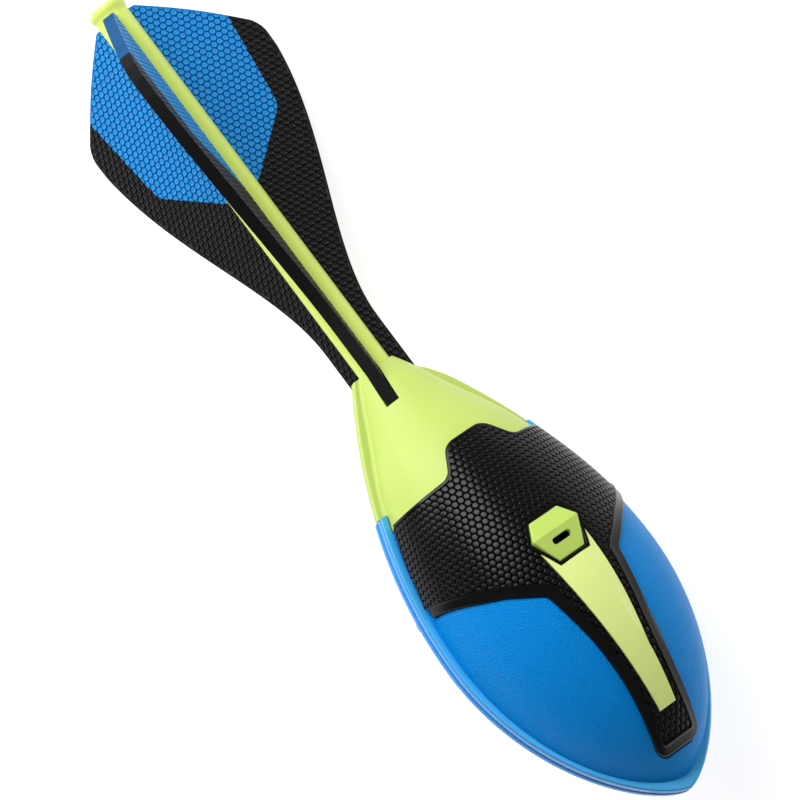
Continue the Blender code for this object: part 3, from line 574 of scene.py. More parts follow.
def back_of(obj, name):
    """Mirror image of a front piece in the plane where the halves meet."""
    made = copy_of(obj, name)
    made.data.transform(Matrix.Scale(-1.0, 4, (0.0, 0.0, 1.0)))
    made.data.flip_normals()
    return made


def dressed(obj, materials, node, smooth_angle=SMOOTH_ANGLE):
    """Finish, place and bookkeeping of a piece that stands for one node."""
    finishes = [polygon.material_index for polygon in obj.data.polygons]
    obj.data.materials.clear()
    for mat in materials:
        obj.data.materials.append(mat)
    obj.data.polygons.foreach_set("material_index", finishes)
    obj.data.shade_smooth()
    obj.data.set_sharp_from_angle(angle=math.radians(smooth_angle))
    obj.data.transform(TOY)
    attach(obj, "root")
    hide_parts(node)


# Relief


def strip(name, path, profile, closed=False, widths=None, end_round=0.0):
    """Sweeps a profile of (inward, out) along a line of the flat drawing.

    Each of its points may have its own share of the width, and both ends may round down over a length.
    """
    rises = [1.0] * len(path)
    if end_round > 0.0:
        for i, point in enumerate(path):
            run = min(math.dist(point, path[0]), math.dist(point, path[-1])) / end_round
            rises[i] = math.sqrt(max(1.0 - (1.0 - min(run, 1.0)) ** 2, LEAST_RISE))
    normals = inward_normals(path, closed)
    rings = []
    for (u, v), (nu, nv), share, rise in zip(path, normals, widths or [1.0] * len(path), rises):
        rings.append([(u + nu * d * share, v + nv * d * share, w * rise if w > 0.0 else w)
                      for d, w in profile])
    return lofted(name, rings, closed)


def border_profile(width, height, edge, bead=0.0):
    """Strip with a rounded outer edge and, if it is wide, a bead along the inner one."""
    points = [(0.0, STRIP_FOOT), (0.0, height - edge)]
    points += [(edge - edge * c, height - edge + edge * s) for c, s in quarter(4)]
    if bead > 0.0:
        points += [(width - inset_by * bead, height + rise * bead) for inset_by, rise in BEAD_SECTION]
    across, down = INNER_CHAMFER
    return points + [(width - across, height), (width, height - down), (width, STRIP_FOOT)]


def dot_slab(name, reach_u, reach_v, rings, low, two_sided=False):
    """Flat slab of hexagon cells between 0 and a low level, with a raised dot in each cell."""
    column = DOT_PITCH * math.sqrt(3.0) / 2.0
    arm = DOT_PITCH / math.sqrt(3.0)
    bm = bmesh.new()
    known = {}

    def shared(u, v, w):
        key = (round(u / GRID), round(v / GRID), round(w / GRID))
        if key not in known:
            known[key] = bm.verts.new((u, v, w))
        return known[key]

    def hexagon(cu, cv, level):
        turns = [math.radians(60.0 * i) for i in range(6)]
        return [shared(cu + arm * math.cos(turn), cv + arm * math.sin(turn), level) for turn in turns]

    def dot(cu, cv, level, side):
        corners = hexagon(cu, cv, level)
        loops = []
        for radius, rise, count in rings:
            turns = [2 * math.pi * i / count for i in range(count)]
            loops.append([bm.verts.new((cu + radius * math.cos(turn), cv + radius * math.sin(turn),
                                        level + side * rise)) for turn in turns])
        foot = loops[0]
        for i in range(6):
            a, b = corners[i], corners[(i + 1) % 6]
            p, q, r = foot[2 * i], foot[2 * i + 1], foot[(2 * i + 2) % len(foot)]
            bm.faces.new((a, q, p))
            bm.faces.new((a, b, q))
            bm.faces.new((b, r, q))
        for near, far in zip(loops, loops[1:]):
            for i in range(len(far)):
                j = (i + 1) % len(far)
                if len(near) == len(far):
                    bm.faces.new((near[i], near[j], far[j], far[i]))
                else:
                    a, b, c = near[2 * i], near[2 * i + 1], near[(2 * i + 2) % len(near)]
                    bm.faces.new((far[i], a, b))
                    bm.faces.new((far[i], b, far[j]))
                    bm.faces.new((far[j], b, c))
        bm.faces.new(loops[-1])

    for i in range(math.floor(reach_u[0] / column), math.ceil(reach_u[1] / column) + 1):
        for j in range(math.floor(reach_v[0] / DOT_PITCH), math.ceil(reach_v[1] / DOT_PITCH) + 1):
            centre = (i * column, (j + 0.5 * (i % 2)) * DOT_PITCH)
            dot(*centre, 0.0, 1.0)
            if two_sided:
                dot(*centre, low, -1.0)
            else:
                bm.faces.new(hexagon(*centre, low))
    rim = [edge for edge in bm.edges if len(edge.link_faces) == 1]
    for edge in [edge for edge in rim if edge.verts[0].co.z > low / 2.0]:
        a, b = edge.verts
        bm.faces.new((a, b, shared(b.co.x, b.co.y, low), shared(a.co.x, a.co.y, low)))
    return to_object(name, bm)


def levelled(slab, outline, level, fade):
    """Brings a slab's relief down to one level towards an outline, so that its edge stays straight."""
    count = len(slab.data.vertices)
    places = np.empty(count * 3)
    slab.data.vertices.foreach_get("co", places)
    places = places.reshape(-1, 3)
    nearest = np.full(count, 1.0)
    for a, b in zip(outline, outline[1:] + outline[:1]):
        a, b = np.array(a), np.array(b)
        run = (places[:, :2] - a) @ (b - a) / max((b - a) @ (b - a), NO_LENGTH ** 2)
        run = np.clip(run, 0.0, 1.0)
        off = places[:, :2] - a - run[:, None] * (b - a)
        nearest = np.minimum(nearest, np.linalg.norm(off, axis=1))
    level_width = FIN_FADE_LEVEL * fade
    share = np.clip((nearest - level_width) / (fade - level_width), 0.0, 1.0)
    relief = np.abs(places[:, 2]) - level
    places[:, 2] = np.sign(places[:, 2]) * (level + relief * share)
    slab.data.vertices.foreach_set("co", places.ravel())


# Materials


def linear(red, green, blue):
    """A picture colour of 0 to 255 as the shader's linear values."""
    result = []
    for value in (red, green, blue):
        c = value / 255.0
        result.append(c / 12.92 if c <= 0.04045 else ((c + 0.055) / 1.055) ** 2.4)
    return tuple(result)


def new_material(name, colour, roughness, gloss=0.5):
    mat = bpy.data.materials.new(name)
    mat.use_nodes = True
    shader = mat.node_tree.nodes["Principled BSDF"]
    shader.inputs["Base Color"].default_value = (*colour, 1.0)
    shader.inputs["Roughness"].default_value = roughness
    shader.inputs["Specular IOR Level"].default_value = gloss
    return mat, shader


def maths(tree, operation, first, second=None, third=None):
    node = tree.nodes.new("ShaderNodeMath")
    node.operation = operation
    for socket, value in zip(node.inputs, (first, second, third)):
        if isinstance(value, (int, float)):
            socket.default_value = value
        elif value is not None:
            tree.links.new(value, socket)
    return node.outputs["Value"]


def clamped(tree, value):
    node = tree.nodes.new("ShaderNodeClamp")
    tree.links.new(value, node.inputs["Value"])
    return node.outputs["Result"]


def mixed(tree, factor, first, second):
    """Mix of two colours, the second one given as a colour or as a node's result."""
    mix = tree.nodes.new("ShaderNodeMix")
    mix.data_type = "RGBA"
    mix.inputs["A"].default_value = (*first, 1.0)
    if isinstance(second, tuple):
        mix.inputs["B"].default_value = (*second, 1.0)
    else:
        tree.links.new(second, mix.inputs["B"])
    tree.links.new(factor, mix.inputs["Factor"])
    return mix.outputs["Result"]


def noise_at(tree, place, scale, detail):
    noise = tree.nodes.new("ShaderNodeTexNoise")
    noise.inputs["Scale"].default_value = scale
    noise.inputs["Detail"].default_value = detail
    tree.links.new(place, noise.inputs["Vector"])
    return noise.outputs["Fac"]


def bumped(tree, shader, height, depth):
    bump = tree.nodes.new("ShaderNodeBump")
    bump.inputs["Strength"].default_value = 1.0
    bump.inputs["Distance"].default_value = depth
    tree.links.new(height, bump.inputs["Height"])
    tree.links.new(bump.outputs["Normal"], shader.inputs["Normal"])


def toy_place(tree):
    """Place in the toy's frame, whatever way it lies."""
    place = tree.nodes.new("ShaderNodeTexCoord")
    into = tree.nodes.new("ShaderNodeMapping")
    into.vector_type = "TEXTURE"
    into.inputs["Location"].default_value = TOY.to_translation()
    into.inputs["Rotation"].default_value = TOY.to_euler()
    tree.links.new(place.outputs["Object"], into.inputs["Vector"])
    return into.outputs["Vector"]


def distance_along(tree, place, direction):
    node = tree.nodes.new("ShaderNodeVectorMath")
    node.operation = "DOT_PRODUCT"
    node.inputs[1].default_value = direction
    tree.links.new(place, node.inputs[0])
    return node.outputs["Value"]


def grained(name, colour, roughness, grain, depth, gloss=0.5):
    """Plain colour with a fine grain in the surface, of one size and depth."""
    mat, shader = new_material(name, colour, roughness, gloss)
    tree = mat.node_tree
    place = tree.nodes.new("ShaderNodeTexCoord").outputs["Object"]
    bumped(tree, shader, noise_at(tree, place, 1.0 / grain, 3.0), depth)
    return mat


def rim_skin(name, colour, painted_highlight_colour, roughness, gloss):
    """Smooth foam skin of the rim, with a painted highlight in lighter blue along its crest."""
    mat, shader = new_material(name, colour, roughness, gloss)
    tree = mat.node_tree
    height = distance_along(tree, toy_place(tree), (0.0, 0.0, 1.0))
    # painted highlight: the base colour turns a lighter blue near the height of the rim's crest
    crest = tree.nodes.new("ShaderNodeMapRange")
    crest.inputs["From Min"].default_value = RIM_HALF - RIM_PAINTED_HIGHLIGHT_FROM
    crest.inputs["From Max"].default_value = RIM_HALF - RIM_PAINTED_HIGHLIGHT_TO
    tree.links.new(maths(tree, "ABSOLUTE", height), crest.inputs["Value"])
    skin_colour = mixed(tree, crest.outputs["Result"], colour, painted_highlight_colour)
    tree.links.new(skin_colour, shader.inputs["Base Color"])
    return mat


def fin_foam(name, angle, cut_edge):
    """Black sheet foam, printed blue from the tail to a kinked line.

    On the sheet's faces the print carries painted shade: dark blue in the grooves between the dots,
    lighter blue on the dots. On its cut edges the foam is rough and the print worn.
    """
    black = linear(16, 16, 18)
    mat, shader = new_material(name, black, *(CUT_FINISH if cut_edge else SHEET_FINISH))
    tree = mat.node_tree
    place = toy_place(tree)
    turn = math.radians(angle)
    x = distance_along(tree, place, (1.0, 0.0, 0.0))
    height = distance_along(tree, place, (0.0, math.sin(turn), math.cos(turn)))
    top = maths(tree, "MULTIPLY_ADD", x, -PRINT_TOP_SLOPE, PRINT_TOP)
    end = maths(tree, "MULTIPLY_ADD", height, -PRINT_END_SLOPE, PRINT_END)
    inside = maths(tree, "SMOOTH_MIN", maths(tree, "SUBTRACT", top, height),
                   maths(tree, "SUBTRACT", end, x), PRINT_ROUNDING)
    printed = clamped(tree, maths(tree, "MULTIPLY_ADD", inside, PRINT_AND_SHADE_SHARPNESS, 0.5))
    if cut_edge:
        cells = noise_at(tree, place, CUT_CELLS, 2.0)
        bumped(tree, shader, cells, CUT_DEPTH)
        random_tone_and_painted_shade = clamped(tree, maths(tree, "MULTIPLY_ADD", cells, *CUT_LIGHT))
        cover = maths(tree, "MULTIPLY_ADD", cells, *CUT_COVER)
        printed = maths(tree, "MULTIPLY", printed, cover)
    else:
        # painted shade: darker blue in the grooves between the dots, lighter blue on the dots, by height
        # out of the sheet
        side = distance_along(tree, place, (0.0, math.cos(turn), -math.sin(turn)))
        depth = maths(tree, "ABSOLUTE", side)
        random_tone_and_painted_shade = clamped(tree, maths(tree, "MULTIPLY_ADD", depth, PRINT_AND_SHADE_SHARPNESS,
                                    -PRINT_AND_SHADE_SHARPNESS * FIN_FLAT_HALF))
    # the darker blue is painted shade in the grooves on the sheet's faces, and random worn spots on the cut
    # edges
    blue = mixed(tree, random_tone_and_painted_shade, linear(8, 88, 160), linear(28, 146, 218))
    tree.links.new(mixed(tree, printed, black, blue), shader.inputs["Base Color"])
    return mat


BLUE = grained("blue_foam_skin", linear(0, 141, 228), 0.33, grain=0.00050, depth=0.00060, gloss=0.07)
# the rim's second colour is a painted highlight along its crest
RIM = rim_skin("blue_rim_skin_painted_highlight", linear(0, 141, 228), linear(80, 192, 252), 0.18, gloss=0.45)
LIME = grained("lime_foam_skin", linear(192, 214, 108), 0.42, grain=0.0040, depth=0.00008, gloss=0.28)
BLACK = grained("black_rubber", linear(9, 9, 10), 0.26, grain=0.0020, depth=0.00003, gloss=0.22)
BORDER_BLACK = grained("glossy_rubber", linear(9, 9, 10), 0.22, grain=0.0020, depth=0.00001, gloss=0.20)
ACCENT = grained("lime_accent", linear(232, 251, 152), 0.28, grain=0.0040, depth=0.00003, gloss=0.45)
CAP = grained("lime_cap", linear(191, 221, 105), 0.30, grain=0.0040, depth=0.00003, gloss=0.4)
SPINE = grained("lime_spine", linear(216, 238, 112), 0.38, grain=0.0040, depth=0.00003)
DARK = grained("black_plastic", linear(20, 20, 22), 0.5, grain=0.0020, depth=0.00003)


# Outlines of the pieces


def whistle_outline():
    tail = WHISTLE_X - WHISTLE_TAIL
    nose = WHISTLE_X + WHISTLE_NOSE
    half = [(tail, WHISTLE_HALF_TAIL), (WHISTLE_X, WHISTLE_HALF_MID), (nose, WHISTLE_HALF_NOSE)]
    return half + mirrored(half)


def side_limit(x):
    """How far round the panel, in the flat drawing, the grip reaches at one station."""
    radius = skin(x, GRIP_PROUD)
    return radius * math.acos(GRIP_SIDE_HEIGHT / radius)


def grip_sides():
    """The grip's edge along the rim, without its ends, in the flat drawing."""
    return [(x, side_limit(x)) for x in spaced(GRIP_TAIL, WING_END, SIDE_STEPS)[1:-1]]


def grip_nose_side():
    """Half of the grip's nose edge in the flat drawing, from the rim over the neck to the tongue's end."""
    start = (WING_END, side_limit(WING_END))
    foot = flattened(*WING_FOOT)
    mid = flattened(*TONGUE_MID)
    end = (TONGUE_END, 0.0)
    points = bezier(start, (start[0] + WING_LEAVE[0], start[1] + WING_LEAVE[1]),
                    (foot[0] + WING_ARRIVE[0], foot[1] + WING_ARRIVE[1]), foot, 14)
    points += rounded(foot, flattened(NECK, NECK_HALF), mid, NECK_CORNER, 10)
    points += bezier(mid, *TONGUE_BEND, (TONGUE_END - TONGUE_STRAIGHT, TONGUE_HALF_END), 8)
    points += rounded((TONGUE_END - TONGUE_CORNER_LEAD, TONGUE_HALF_END),
                      (TONGUE_END, TONGUE_HALF_END), end, TONGUE_CORNER, 10)
    return points + [end]


def grip_tail_side():
    """Half of the grip's tail edge in the flat drawing, from the middle of the tab to the rim."""
    top = (TAB, TAB_HALF_TOP)
    foot = (GRIP_TAIL, TAB_HALF_BASE)
    end = (GRIP_TAIL, side_limit(GRIP_TAIL))
    return [(TAB, 0.0)] + rounded((TAB, 0.0), top, foot, TAB_CORNER) + \
        rounded(top, foot, end, TAB_FOOT_CORNER) + [end]


def grip_outline():
    sides = grip_sides()
    nose_side = grip_nose_side()
    tip = nose_side[0]
    half = grip_tail_side() + [p for p in sides if math.dist(p, tip) > WING_CORNER]
    half += rounded(sides[-3], tip, nose_side[3], WING_CORNER)
    half += [p for p in nose_side if math.dist(p, tip) > WING_CORNER]
    return half + mirrored([p for p in half if p[1] > 0.0])


def accent_edges():
    """The accent's two edges seen square to the panel: one bows out, the other is nearly straight."""
    return bezier(*ACCENT_BOWED, 14) + [ACCENT_BOWED_END], bezier(*ACCENT_STRAIGHT, 16)


def fin_outline():
    """Swept fin: slanted tail edge, rounded corner, long concave edge, narrow strip to the head."""
    step = (FIN_START, SPINE_RADIUS + FIN_TAIL_STEP)
    shoulder = (FIN_SHOULDER, FIN_HEIGHT - FIN_SHOULDER_DROP)
    turn = rounded(step, (FIN_CORNER_AT, FIN_HEIGHT), shoulder, FIN_CORNER_RADIUS)
    length = math.dist(step, turn[0])
    slant = [(b - a) / length for a, b in zip(step, turn[0])]
    points = [(FIN_START, FIN_ROOT)]
    for i in range(FIN_TAIL_POINTS):
        out = FIN_TAIL_BULGE * math.sin(math.pi * i / FIN_TAIL_POINTS)
        run = length * i / FIN_TAIL_POINTS
        points.append((step[0] + run * slant[0] - out * slant[1],
                       step[1] + run * slant[1] + out * slant[0]))
    sweep = FIN_STRIP_AT - FIN_SHOULDER
    leave = (FIN_SHOULDER + FIN_SWEEP_LEAVE[0] * sweep, shoulder[1] + FIN_SWEEP_LEAVE[1])
    arrive = (FIN_STRIP_AT - FIN_SWEEP_ARRIVE[0] * sweep, FIN_STRIP_HEIGHT + FIN_SWEEP_ARRIVE[1])
    points += turn + bezier(shoulder, leave, arrive, (FIN_STRIP_AT, FIN_STRIP_HEIGHT), 40)
    return points + [(FIN_END, FIN_STRIP_HEIGHT), (FIN_END, FIN_ROOT)]


# Head


def bendable(name, outline, low, high):
    """A flat outline as a body whose faces are fine enough to be bent."""
    us = [p[0] for p in outline]
    vs = [p[1] for p in outline]
    count_u = math.ceil((max(us) - min(us)) / BEND_CELL) + 2
    count_v = math.ceil((max(vs) - min(vs)) / BEND_CELL) + 2
    bm = bmesh.new()
    rows = []
    for i in range(count_u + 1):
        u = min(us) - BEND_CELL + BEND_CELL * i
        rows.append([bm.verts.new((u, min(vs) - BEND_CELL + BEND_CELL * j, 0.0))
                     for j in range(count_v + 1)])
    for a, b in zip(rows, rows[1:]):
        for j in range(count_v):
            bm.faces.new((a[j], a[j + 1], b[j + 1], b[j]))
    raised = bmesh.ops.extrude_face_region(bm, geom=list(bm.faces))["geom"]
    top = {v for v in raised if isinstance(v, bmesh.types.BMVert)}
    for vert in bm.verts:
        vert.co.z = high if vert in top else low
    slab = to_object(name, bm)
    edge = prism(name + "_edge", outline, low - 0.5 * OVERCUT, high + 0.5 * OVERCUT)
    return cut(slab, [edge], "INTERSECT")


def grip_pocket():
    """Closed body over the grip's outline, for cutting the foam under it."""
    outline = resampled(grown(grip_outline(), GRIP_ROOM), 2.0 * LINE_STEP, True)
    return reshaped(bendable("pocket", outline, *GRIP_SPACE), wrapped)


def towards_nose(end, count):
    """Stations from the widest place to an end, crowded where the outline turns."""
    turns = [math.radians(90.0 * i / count) for i in range(count)]
    return [WIDEST + (end - WIDEST) * math.sin(turn) for turn in turns]


def rim_plate(stations):
    """Half of the rim as one plate: grooved side, round edge, crest, and a top that falls to the panel."""
    edge = [(x, rim_radius(x)) for x in stations]
    outline = edge + [(TIP, 0.0)] + mirrored(edge)
    steps = list(RIM_SIDE) + [(RIM_DRAFT, RIM_HALF - RIM_EDGE)]
    steps += [(RIM_DRAFT + RIM_EDGE * (1.0 - c), RIM_HALF - RIM_EDGE * (1.0 - s))
              for c, s in quarter(5)]
    steps += [(RIM_DRAFT + 1.5 * RIM_EDGE, RIM_HALF - RIM_CREST_DROP),
              (RIM_FALL_WIDTH, RIM_HALF - RIM_FALL)]
    rings = []
    for inset_by, z in steps:
        share = 1.0 - inset_by / RIM_RADIUS
        rings.append([(WIDEST + (x - WIDEST) * share, y * share, z) for x, y in outline])
    return lofted("rim", rings)


def nose_front():
    """Dome of the panel and plate of the rim in one, with the pockets of the grip and the whistle."""
    start = SEAM - DOME_LEAD
    behind = spaced(start, WIDEST, 24)[:-1]
    stations = behind + towards_nose(PANEL_END, 44)
    profile = [(PANEL_END, 0.0)] + [(x, panel_radius(x)) for x in reversed(stations)] + [(start, 0.0)]
    nose = turned("dome", profile, HEAD_STEPS)
    nose = cut(nose, [rim_plate(behind + towards_nose(TIP, 60))], "UNION")
    seam = SEAM + HALF_GAP
    end = TIP + FAR
    room = [(seam, -FAR), (end, -FAR), (end, FAR), (seam, FAR)]
    nose = cut(nose, [prism("room", room, HALF_GAP, FAR)], "INTERSECT")
    lap = [(x, panel_radius(x) + 2.0 * CLEARANCE)
           for x in spaced(SEAM + LAP_LENGTH + CLEARANCE, SEAM - 2.0 * OVERCUT, 6)]
    lap = turned("lap", [(lap[0][0], 0.0)] + lap + [(lap[-1][0], 0.0)], HEAD_STEPS)
    hexagon = prism("hexagon", grown(whistle_outline(), CLEARANCE), *WHISTLE_SPACE)
    nose = cut(nose, [lap, grip_pocket(), hexagon])
    points = nose.data.vertices
    for polygon in nose.data.polygons:
        on_rim = all(points[i].co.z < RIM_HALF + RIM_TOLERANCE for i in polygon.vertices)
        polygon.material_index = int(on_rim)
    return nose


def over_fin(x):
    """The lime flange on the side where a fin lies in the seam: it starts round, behind the fin."""
    run = held((x - SHELL_START - FLANGE_CLEAR_OF_FIN) / FLANGE_ROUNDING)
    low = panel_radius(x)
    return low + (rim_radius(x) - low) * math.sqrt(1.0 - (1.0 - run) ** 2)


def flange_section(panel, edge):
    """One side of a half section of the lime foam, from the seam up to the panel's middle, as (y, z)."""
    flat_end = math.sqrt(panel ** 2 - FLANGE_HALF ** 2)
    edge = max(edge, flat_end + FLANGE_LEAST_REACH)
    inner = edge - FLANGE_CORNER
    points = [(edge, z) for z in spaced(HALF_GAP, FLANGE_HALF - FLANGE_CORNER, 2)]
    points += [(inner + FLANGE_CORNER * c, FLANGE_HALF - FLANGE_CORNER + FLANGE_CORNER * s)
               for c, s in quarter(4)]
    room = (inner ** 2 - flat_end ** 2) / (2.0 * (panel - FLANGE_HALF))
    fillet = max(min(FLANGE_FILLET, FLANGE_FILLET_SHARE * room), FLANGE_LEAST_FILLET)
    centre_z = FLANGE_HALF + fillet
    centre_y = math.sqrt((panel + fillet) ** 2 - centre_z ** 2)
    lift = math.atan2(centre_z, centre_y)
    for turn in spaced(math.radians(-90.0), lift - math.pi, 8):
        points.append((centre_y + fillet * math.cos(turn), centre_z + fillet * math.sin(turn)))
    for turn in spaced(lift, math.radians(90.0), 24)[1:]:
        points.append((panel * math.cos(turn), panel * math.sin(turn)))
    return points


def fin_pocket(name, top):
    """Room for a fin's strip in the mouth of the head."""
    half = FIN_THICKNESS / 2.0 + CLEARANCE
    start, end = SHELL_START - OVERCUT, FIN_END + CLEARANCE
    outline = [(start, FIN_PIT_FLOOR), (end, FIN_PIT_FLOOR), (end, top), (start, top)]
    box = prism("pocket", outline, -half, half)
    box.data.transform(Matrix.Rotation(math.radians(90.0 - FIN_ANGLES[name]), 4, "X"))
    return box


def tail_front():
    """Lime half with its flange, the lap for the blue foam, the bore and the pockets of two fins."""
    rings = []
    for x in spaced(SHELL_START, SEAM + LAP_LENGTH, 44):
        run = held((x - SHELL_START) / (VALLEY_SHARE * (SEAM - SHELL_START)))
        low = panel_radius(x) - VALLEY_DEPTH * math.sin(math.pi * run) ** 2
        right = flange_section(low, over_fin(x))
        left = flange_section(low, rim_radius(x))
        section = right + [(-y, z) for y, z in reversed(left[:-1])]
        rings.append([(x, y, z) for y, z in section])
    stations = spaced(SEAM - HALF_GAP, SEAM + LAP_LENGTH + OVERCUT, 6)
    ring = [(stations[-1], OUTSIDE), (stations[0], OUTSIDE)]
    ring += [(x, panel_radius(x) + CLEARANCE) for x in stations]
    lap_space = lofted("lap_space", [circle(x, radius, 96) for x, radius in ring], True)
    front, back = SEAM + 2.0 * OVERCUT, SHELL_START - OVERCUT
    radius = SPINE_RADIUS + CLEARANCE
    bore = turned("bore", [(front, 0.0), (front, radius), (back, radius), (back, 0.0)], 64)
    return cut(lofted("tail", rings), [lap_space, bore, fin_pocket("fin_top", FIN_TOP_PIT),
                                       fin_pocket("fin_right", FIN_STRIP_HEIGHT + CLEARANCE)])


# Grip and accent


def grip_front():
    """Field of dots inside its smooth borders, and the collar round the whistle."""
    tail_half = resampled(grip_tail_side(), LINE_STEP)
    tail_path = mirrored(tail_half[1:]) + tail_half
    nose_half = resampled(grip_nose_side(), LINE_STEP)
    nose_path = nose_half + mirrored(nose_half[:-1])
    widths = [1.0 - BORDER_NARROWING * held((u - NECK) / BORDER_NARROWS_OVER) for u, v in nose_path]
    sides = grip_sides()[1:-2]
    field = inset(tail_path, [TAIL_DOTS_FROM * TAIL_BORDER] * len(tail_path)) + sides
    field += inset(nose_path, [DOTS_FROM * BORDER * share for share in widths]) + mirrored(sides)
    slab = dot_slab("dots", DOT_FIELD_U, DOT_FIELD_V, GRIP_DOT, DOT_FIELD_LOW)
    reshaped(slab, lambda u, v, w: (u, v, w + DOT_FIELD_LIFT))
    slab = cut(slab, [drawn("edge", field)], "INTERSECT")
    bowed, straight = accent_edges()
    slab = cut(slab, [drawn("hexagon", grown(whistle_outline(), CLEARANCE)),
                      drawn("accent", grown(bowed + straight[::-1], ACCENT_ROOM))])
    wide = border_profile(BORDER, BORDER_HEIGHT, BORDER_EDGE, BEAD)
    border = strip("border", nose_path, wide, widths=widths, end_round=BORDER_END)
    border = cut(border, [drawn("edge", grip_outline())], "INTERSECT")
    narrow = border_profile(TAIL_BORDER, BORDER_HEIGHT, TAIL_BORDER_EDGE)
    edge = strip("edge", tail_path, narrow, end_round=TAIL_BORDER_END)
    hexagon = resampled(grown(whistle_outline(), CLEARANCE), COLLAR_STEP, True)
    ring = [(-d, w) for d, w in border_profile(COLLAR, COLLAR_HEIGHT, COLLAR_EDGE)]
    collar = strip("collar", hexagon, ring, True)
    return joined("grip", [reshaped(body, wrapped) for body in (slab, border, edge, collar)])


def accent_front():
    """Folded spear: two faces that fall from a ridge to chamfered edges."""
    bowed, straight = accent_edges()
    rings = []
    for x in spaced(ACCENT_START, ACCENT_END, 56):
        low, high = height_at(straight, x), height_at(bowed, x)
        start, end = low + ACCENT_CHAMFER, high - ACCENT_CHAMFER
        ridge = ACCENT_RIDGE[1] + (x - ACCENT_RIDGE[0]) * ACCENT_RIDGE_SLOPE
        ridge = min(ridge, high - ACCENT_RIDGE_MARGIN)
        rise = ACCENT_RISE * min(1.0, ACCENT_RISE_END + (ACCENT_END - x) / ACCENT_RISE_LENGTH)
        side = ACCENT_HEIGHT - ACCENT_CHAMFER
        points = [(x, low, STRIP_FOOT), (x, low, side), (x, start, ACCENT_HEIGHT)]
        points += [(x, start + (ridge - start) * t, ACCENT_HEIGHT + rise * t) for t in (0.33, 0.66, 1.0)]
        points += [(x, ridge + (end - ridge) * t, ACCENT_HEIGHT + rise * (1 - t)) for t in (0.5, 1.0)]
        rings.append(points + [(x, high, side), (x, high, STRIP_FOOT)])
    hexagon = drawn("hexagon", grown(whistle_outline(), COLLAR + CLEARANCE))
    return reshaped(cut(lofted("accent", rings), [hexagon]), wrapped)


# Tail


def one_fin():
    """Embossed fin, built flat: its faces have the first material, its cut edges the second."""
    reach = ((FIN_START, FIN_END), (FIN_ROOT, FIN_HEIGHT + 0.5 * OVERCUT))
    slab = dot_slab("fin", *reach, FIN_DOT, -2.0 * FIN_FLAT_HALF, True)
    reshaped(slab, lambda u, v, w: (u, v, w + FIN_FLAT_HALF))
    outline = fin_outline()
    levelled(slab, outline, FIN_FLAT_HALF + FIN_SKIN, FIN_FADE)
    fin = cut(slab, [prism("outline", outline, -FIN_CUTTER_HALF, FIN_CUTTER_HALF)], "INTERSECT")
    for polygon in fin.data.polygons:
        polygon.material_index = int(abs(polygon.normal.z) < FIN_CUT_NORMAL)
    return fin


def round_spine():
    profile = [(SPINE_END, 0.0), (SPINE_END, SPINE_RADIUS), (SPINE_START, SPINE_RADIUS), (SPINE_START, 0.0)]
    return turned("round_spine", profile, TAIL_STEPS)


def round_tail_cap():
    """Trumpet from the spine to its lip, rounded to the flat end face."""
    lip = (CAP_LIP, CAP_RADIUS)
    edge = bezier((CAP_LENGTH, SPINE_RADIUS), *CAP_FLARE, lip, 10)
    edge += bezier(lip, *CAP_ROUND, (0.0, CAP_FACE_RADIUS), 12)[1:]
    return turned("round_tail_cap", [(CAP_LENGTH, 0.0)] + edge + [(0.0, 0.0)], TAIL_STEPS)


# Piece made for the front, its name, materials, slot, node and smooth angle; the back is its mirror image
HALVES = (
    (nose_front, "blue_nose", (BLUE, RIM), "blue_foam", "nose_shell", SMOOTH_ANGLE),
    (tail_front, "lime_tail", (LIME,), "lime_foam", "tail_shell", SMOOTH_ANGLE),
    (grip_front, "dotted_grip", (BLACK, BORDER_BLACK), "grip_rubber", "grip", GRIP_SMOOTH_ANGLE),
    (accent_front, "lime_spear", (ACCENT,), "accent_plastic", "accent", ACCENT_SMOOTH_ANGLE))

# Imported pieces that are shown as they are, and their materials
SHOWN = (("whistle_cap_front", CAP), ("whistle_cap_back", CAP), ("foam_core", DARK),
         ("whistle_chamber_front", DARK), ("whistle_chamber_back", DARK))


def make_pieces():
    for make, name, materials, slot, node, smooth_angle in HALVES:
        piece = make()
        dressed(back_of(piece, name + "_back"), materials, node + "_back", smooth_angle)
        piece.name = name + "_front"
        dressed(piece, materials, node + "_front", smooth_angle)
    fin = one_fin()
    for name, angle in FIN_ANGLES.items():
        made = copy_of(fin, "dotted_" + name)
        made.data.transform(Matrix.Rotation(math.radians(90.0 - angle), 4, "X"))
        foam = (fin_foam("sheet_foam_painted_shade_" + name, angle, False), fin_foam("cut_foam_" + name, angle, True))
        dressed(made, foam, name, FIN_SMOOTH_ANGLE)
    bpy.data.objects.remove(fin, do_unlink=True)
    dressed(round_spine(), (SPINE,), "tail_spine")
    dressed(round_tail_cap(), (SPINE,), "tail_cap")
    for name, mat in SHOWN:
        node = frame["nodes"][name]
        node.data.materials.clear()
        node.data.materials.append(mat)


# Stage


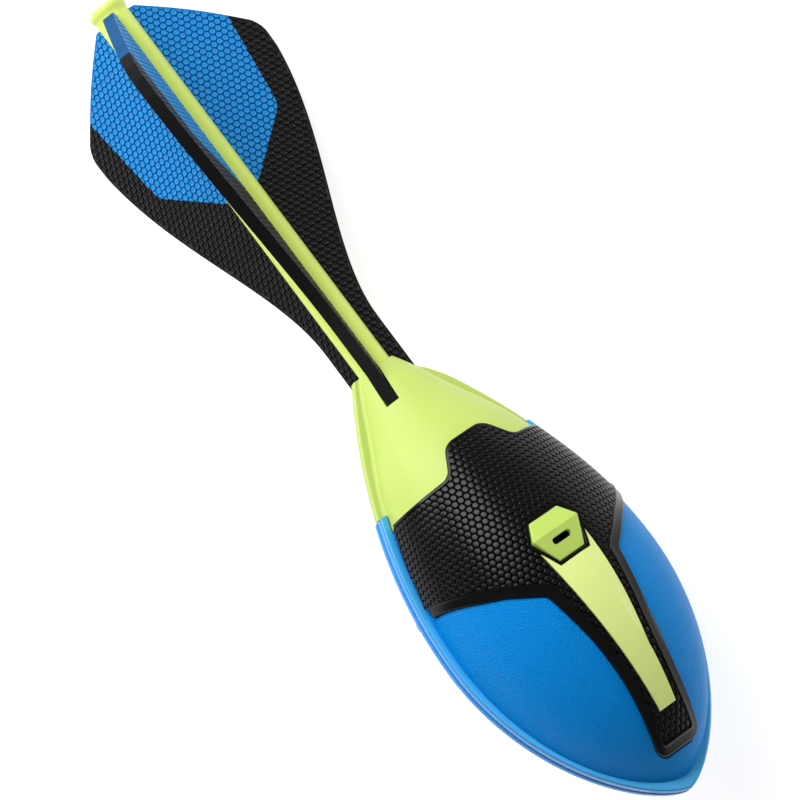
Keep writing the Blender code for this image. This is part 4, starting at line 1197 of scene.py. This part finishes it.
def make_camera():
    along = Vector((math.cos(AXIS_LIFT) * math.cos(AXIS_TURN),
                    math.cos(AXIS_LIFT) * math.sin(AXIS_TURN), math.sin(AXIS_LIFT)))
    up = Vector((0.0, 0.0, 1.0))
    toward = (up - along * up.dot(along)).normalized()
    across = toward.cross(along)

    def radial(turn):
        return toward * math.cos(turn) + across * math.sin(turn)

    front_turn = TOP_FIN_TURN - math.radians(FIN_ANGLES["fin_top"])
    out = radial(front_turn)
    left = radial(front_turn + math.radians(90.0))
    toy_in_camera = Matrix((along, left, out)).transposed()
    world = TOY.to_3x3() @ toy_in_camera.transposed()
    data = bpy.data.cameras.new("camera")
    cam = linked("camera", data)
    place = TOY @ AIM + world @ (Vector((0.0, 0.0, CAMERA_DISTANCE)) - AIM_OFFSET)
    cam.matrix_world = Matrix.Translation(place) @ world.to_4x4()
    data.sensor_width = SENSOR
    data.lens = PIXELS_PER_METRE * CAMERA_DISTANCE / PICTURE * SENSOR
    data.clip_start, data.clip_end = CLIP
    bpy.context.scene.camera = cam
    return cam


def make_stage(cam):
    bm = bmesh.new()
    bmesh.ops.create_grid(bm, x_segments=8, y_segments=8, size=FLOOR_SIZE)
    mesh = bpy.data.meshes.new("floor")
    bm.to_mesh(mesh)
    bm.free()
    floor = linked("floor", mesh)
    mat, shader = new_material("pale_floor", FLOOR_GREY, FLOOR_ROUGHNESS)
    shader.inputs["Emission Color"].default_value = (*WHITE, 1.0)
    shader.inputs["Emission Strength"].default_value = FLOOR_GLOW
    floor.data.materials.append(mat)
    world = bpy.data.worlds.new("studio")
    bpy.context.scene.world = world
    world.use_nodes = True
    background = world.node_tree.nodes["Background"]
    background.inputs["Color"].default_value = (*WHITE, 1.0)
    background.inputs["Strength"].default_value = WORLD_STRENGTH
    turn = cam.matrix_world.to_3x3()
    centre = TOY @ AIM
    for name, (left, up, toward), size, power, colour in LIGHTS:
        data = bpy.data.lights.new(name, "AREA")
        data.size, data.energy, data.color = size, power, colour
        lamp = linked(name, data)
        lamp.location = centre + turn @ Vector((-left, up, toward))
        lamp.rotation_euler = (centre - lamp.location).to_track_quat("-Z", "Y").to_euler()


camera = make_camera()
make_stage(camera)
make_pieces()
bpy.context.scene.view_settings.view_transform = "Standard"
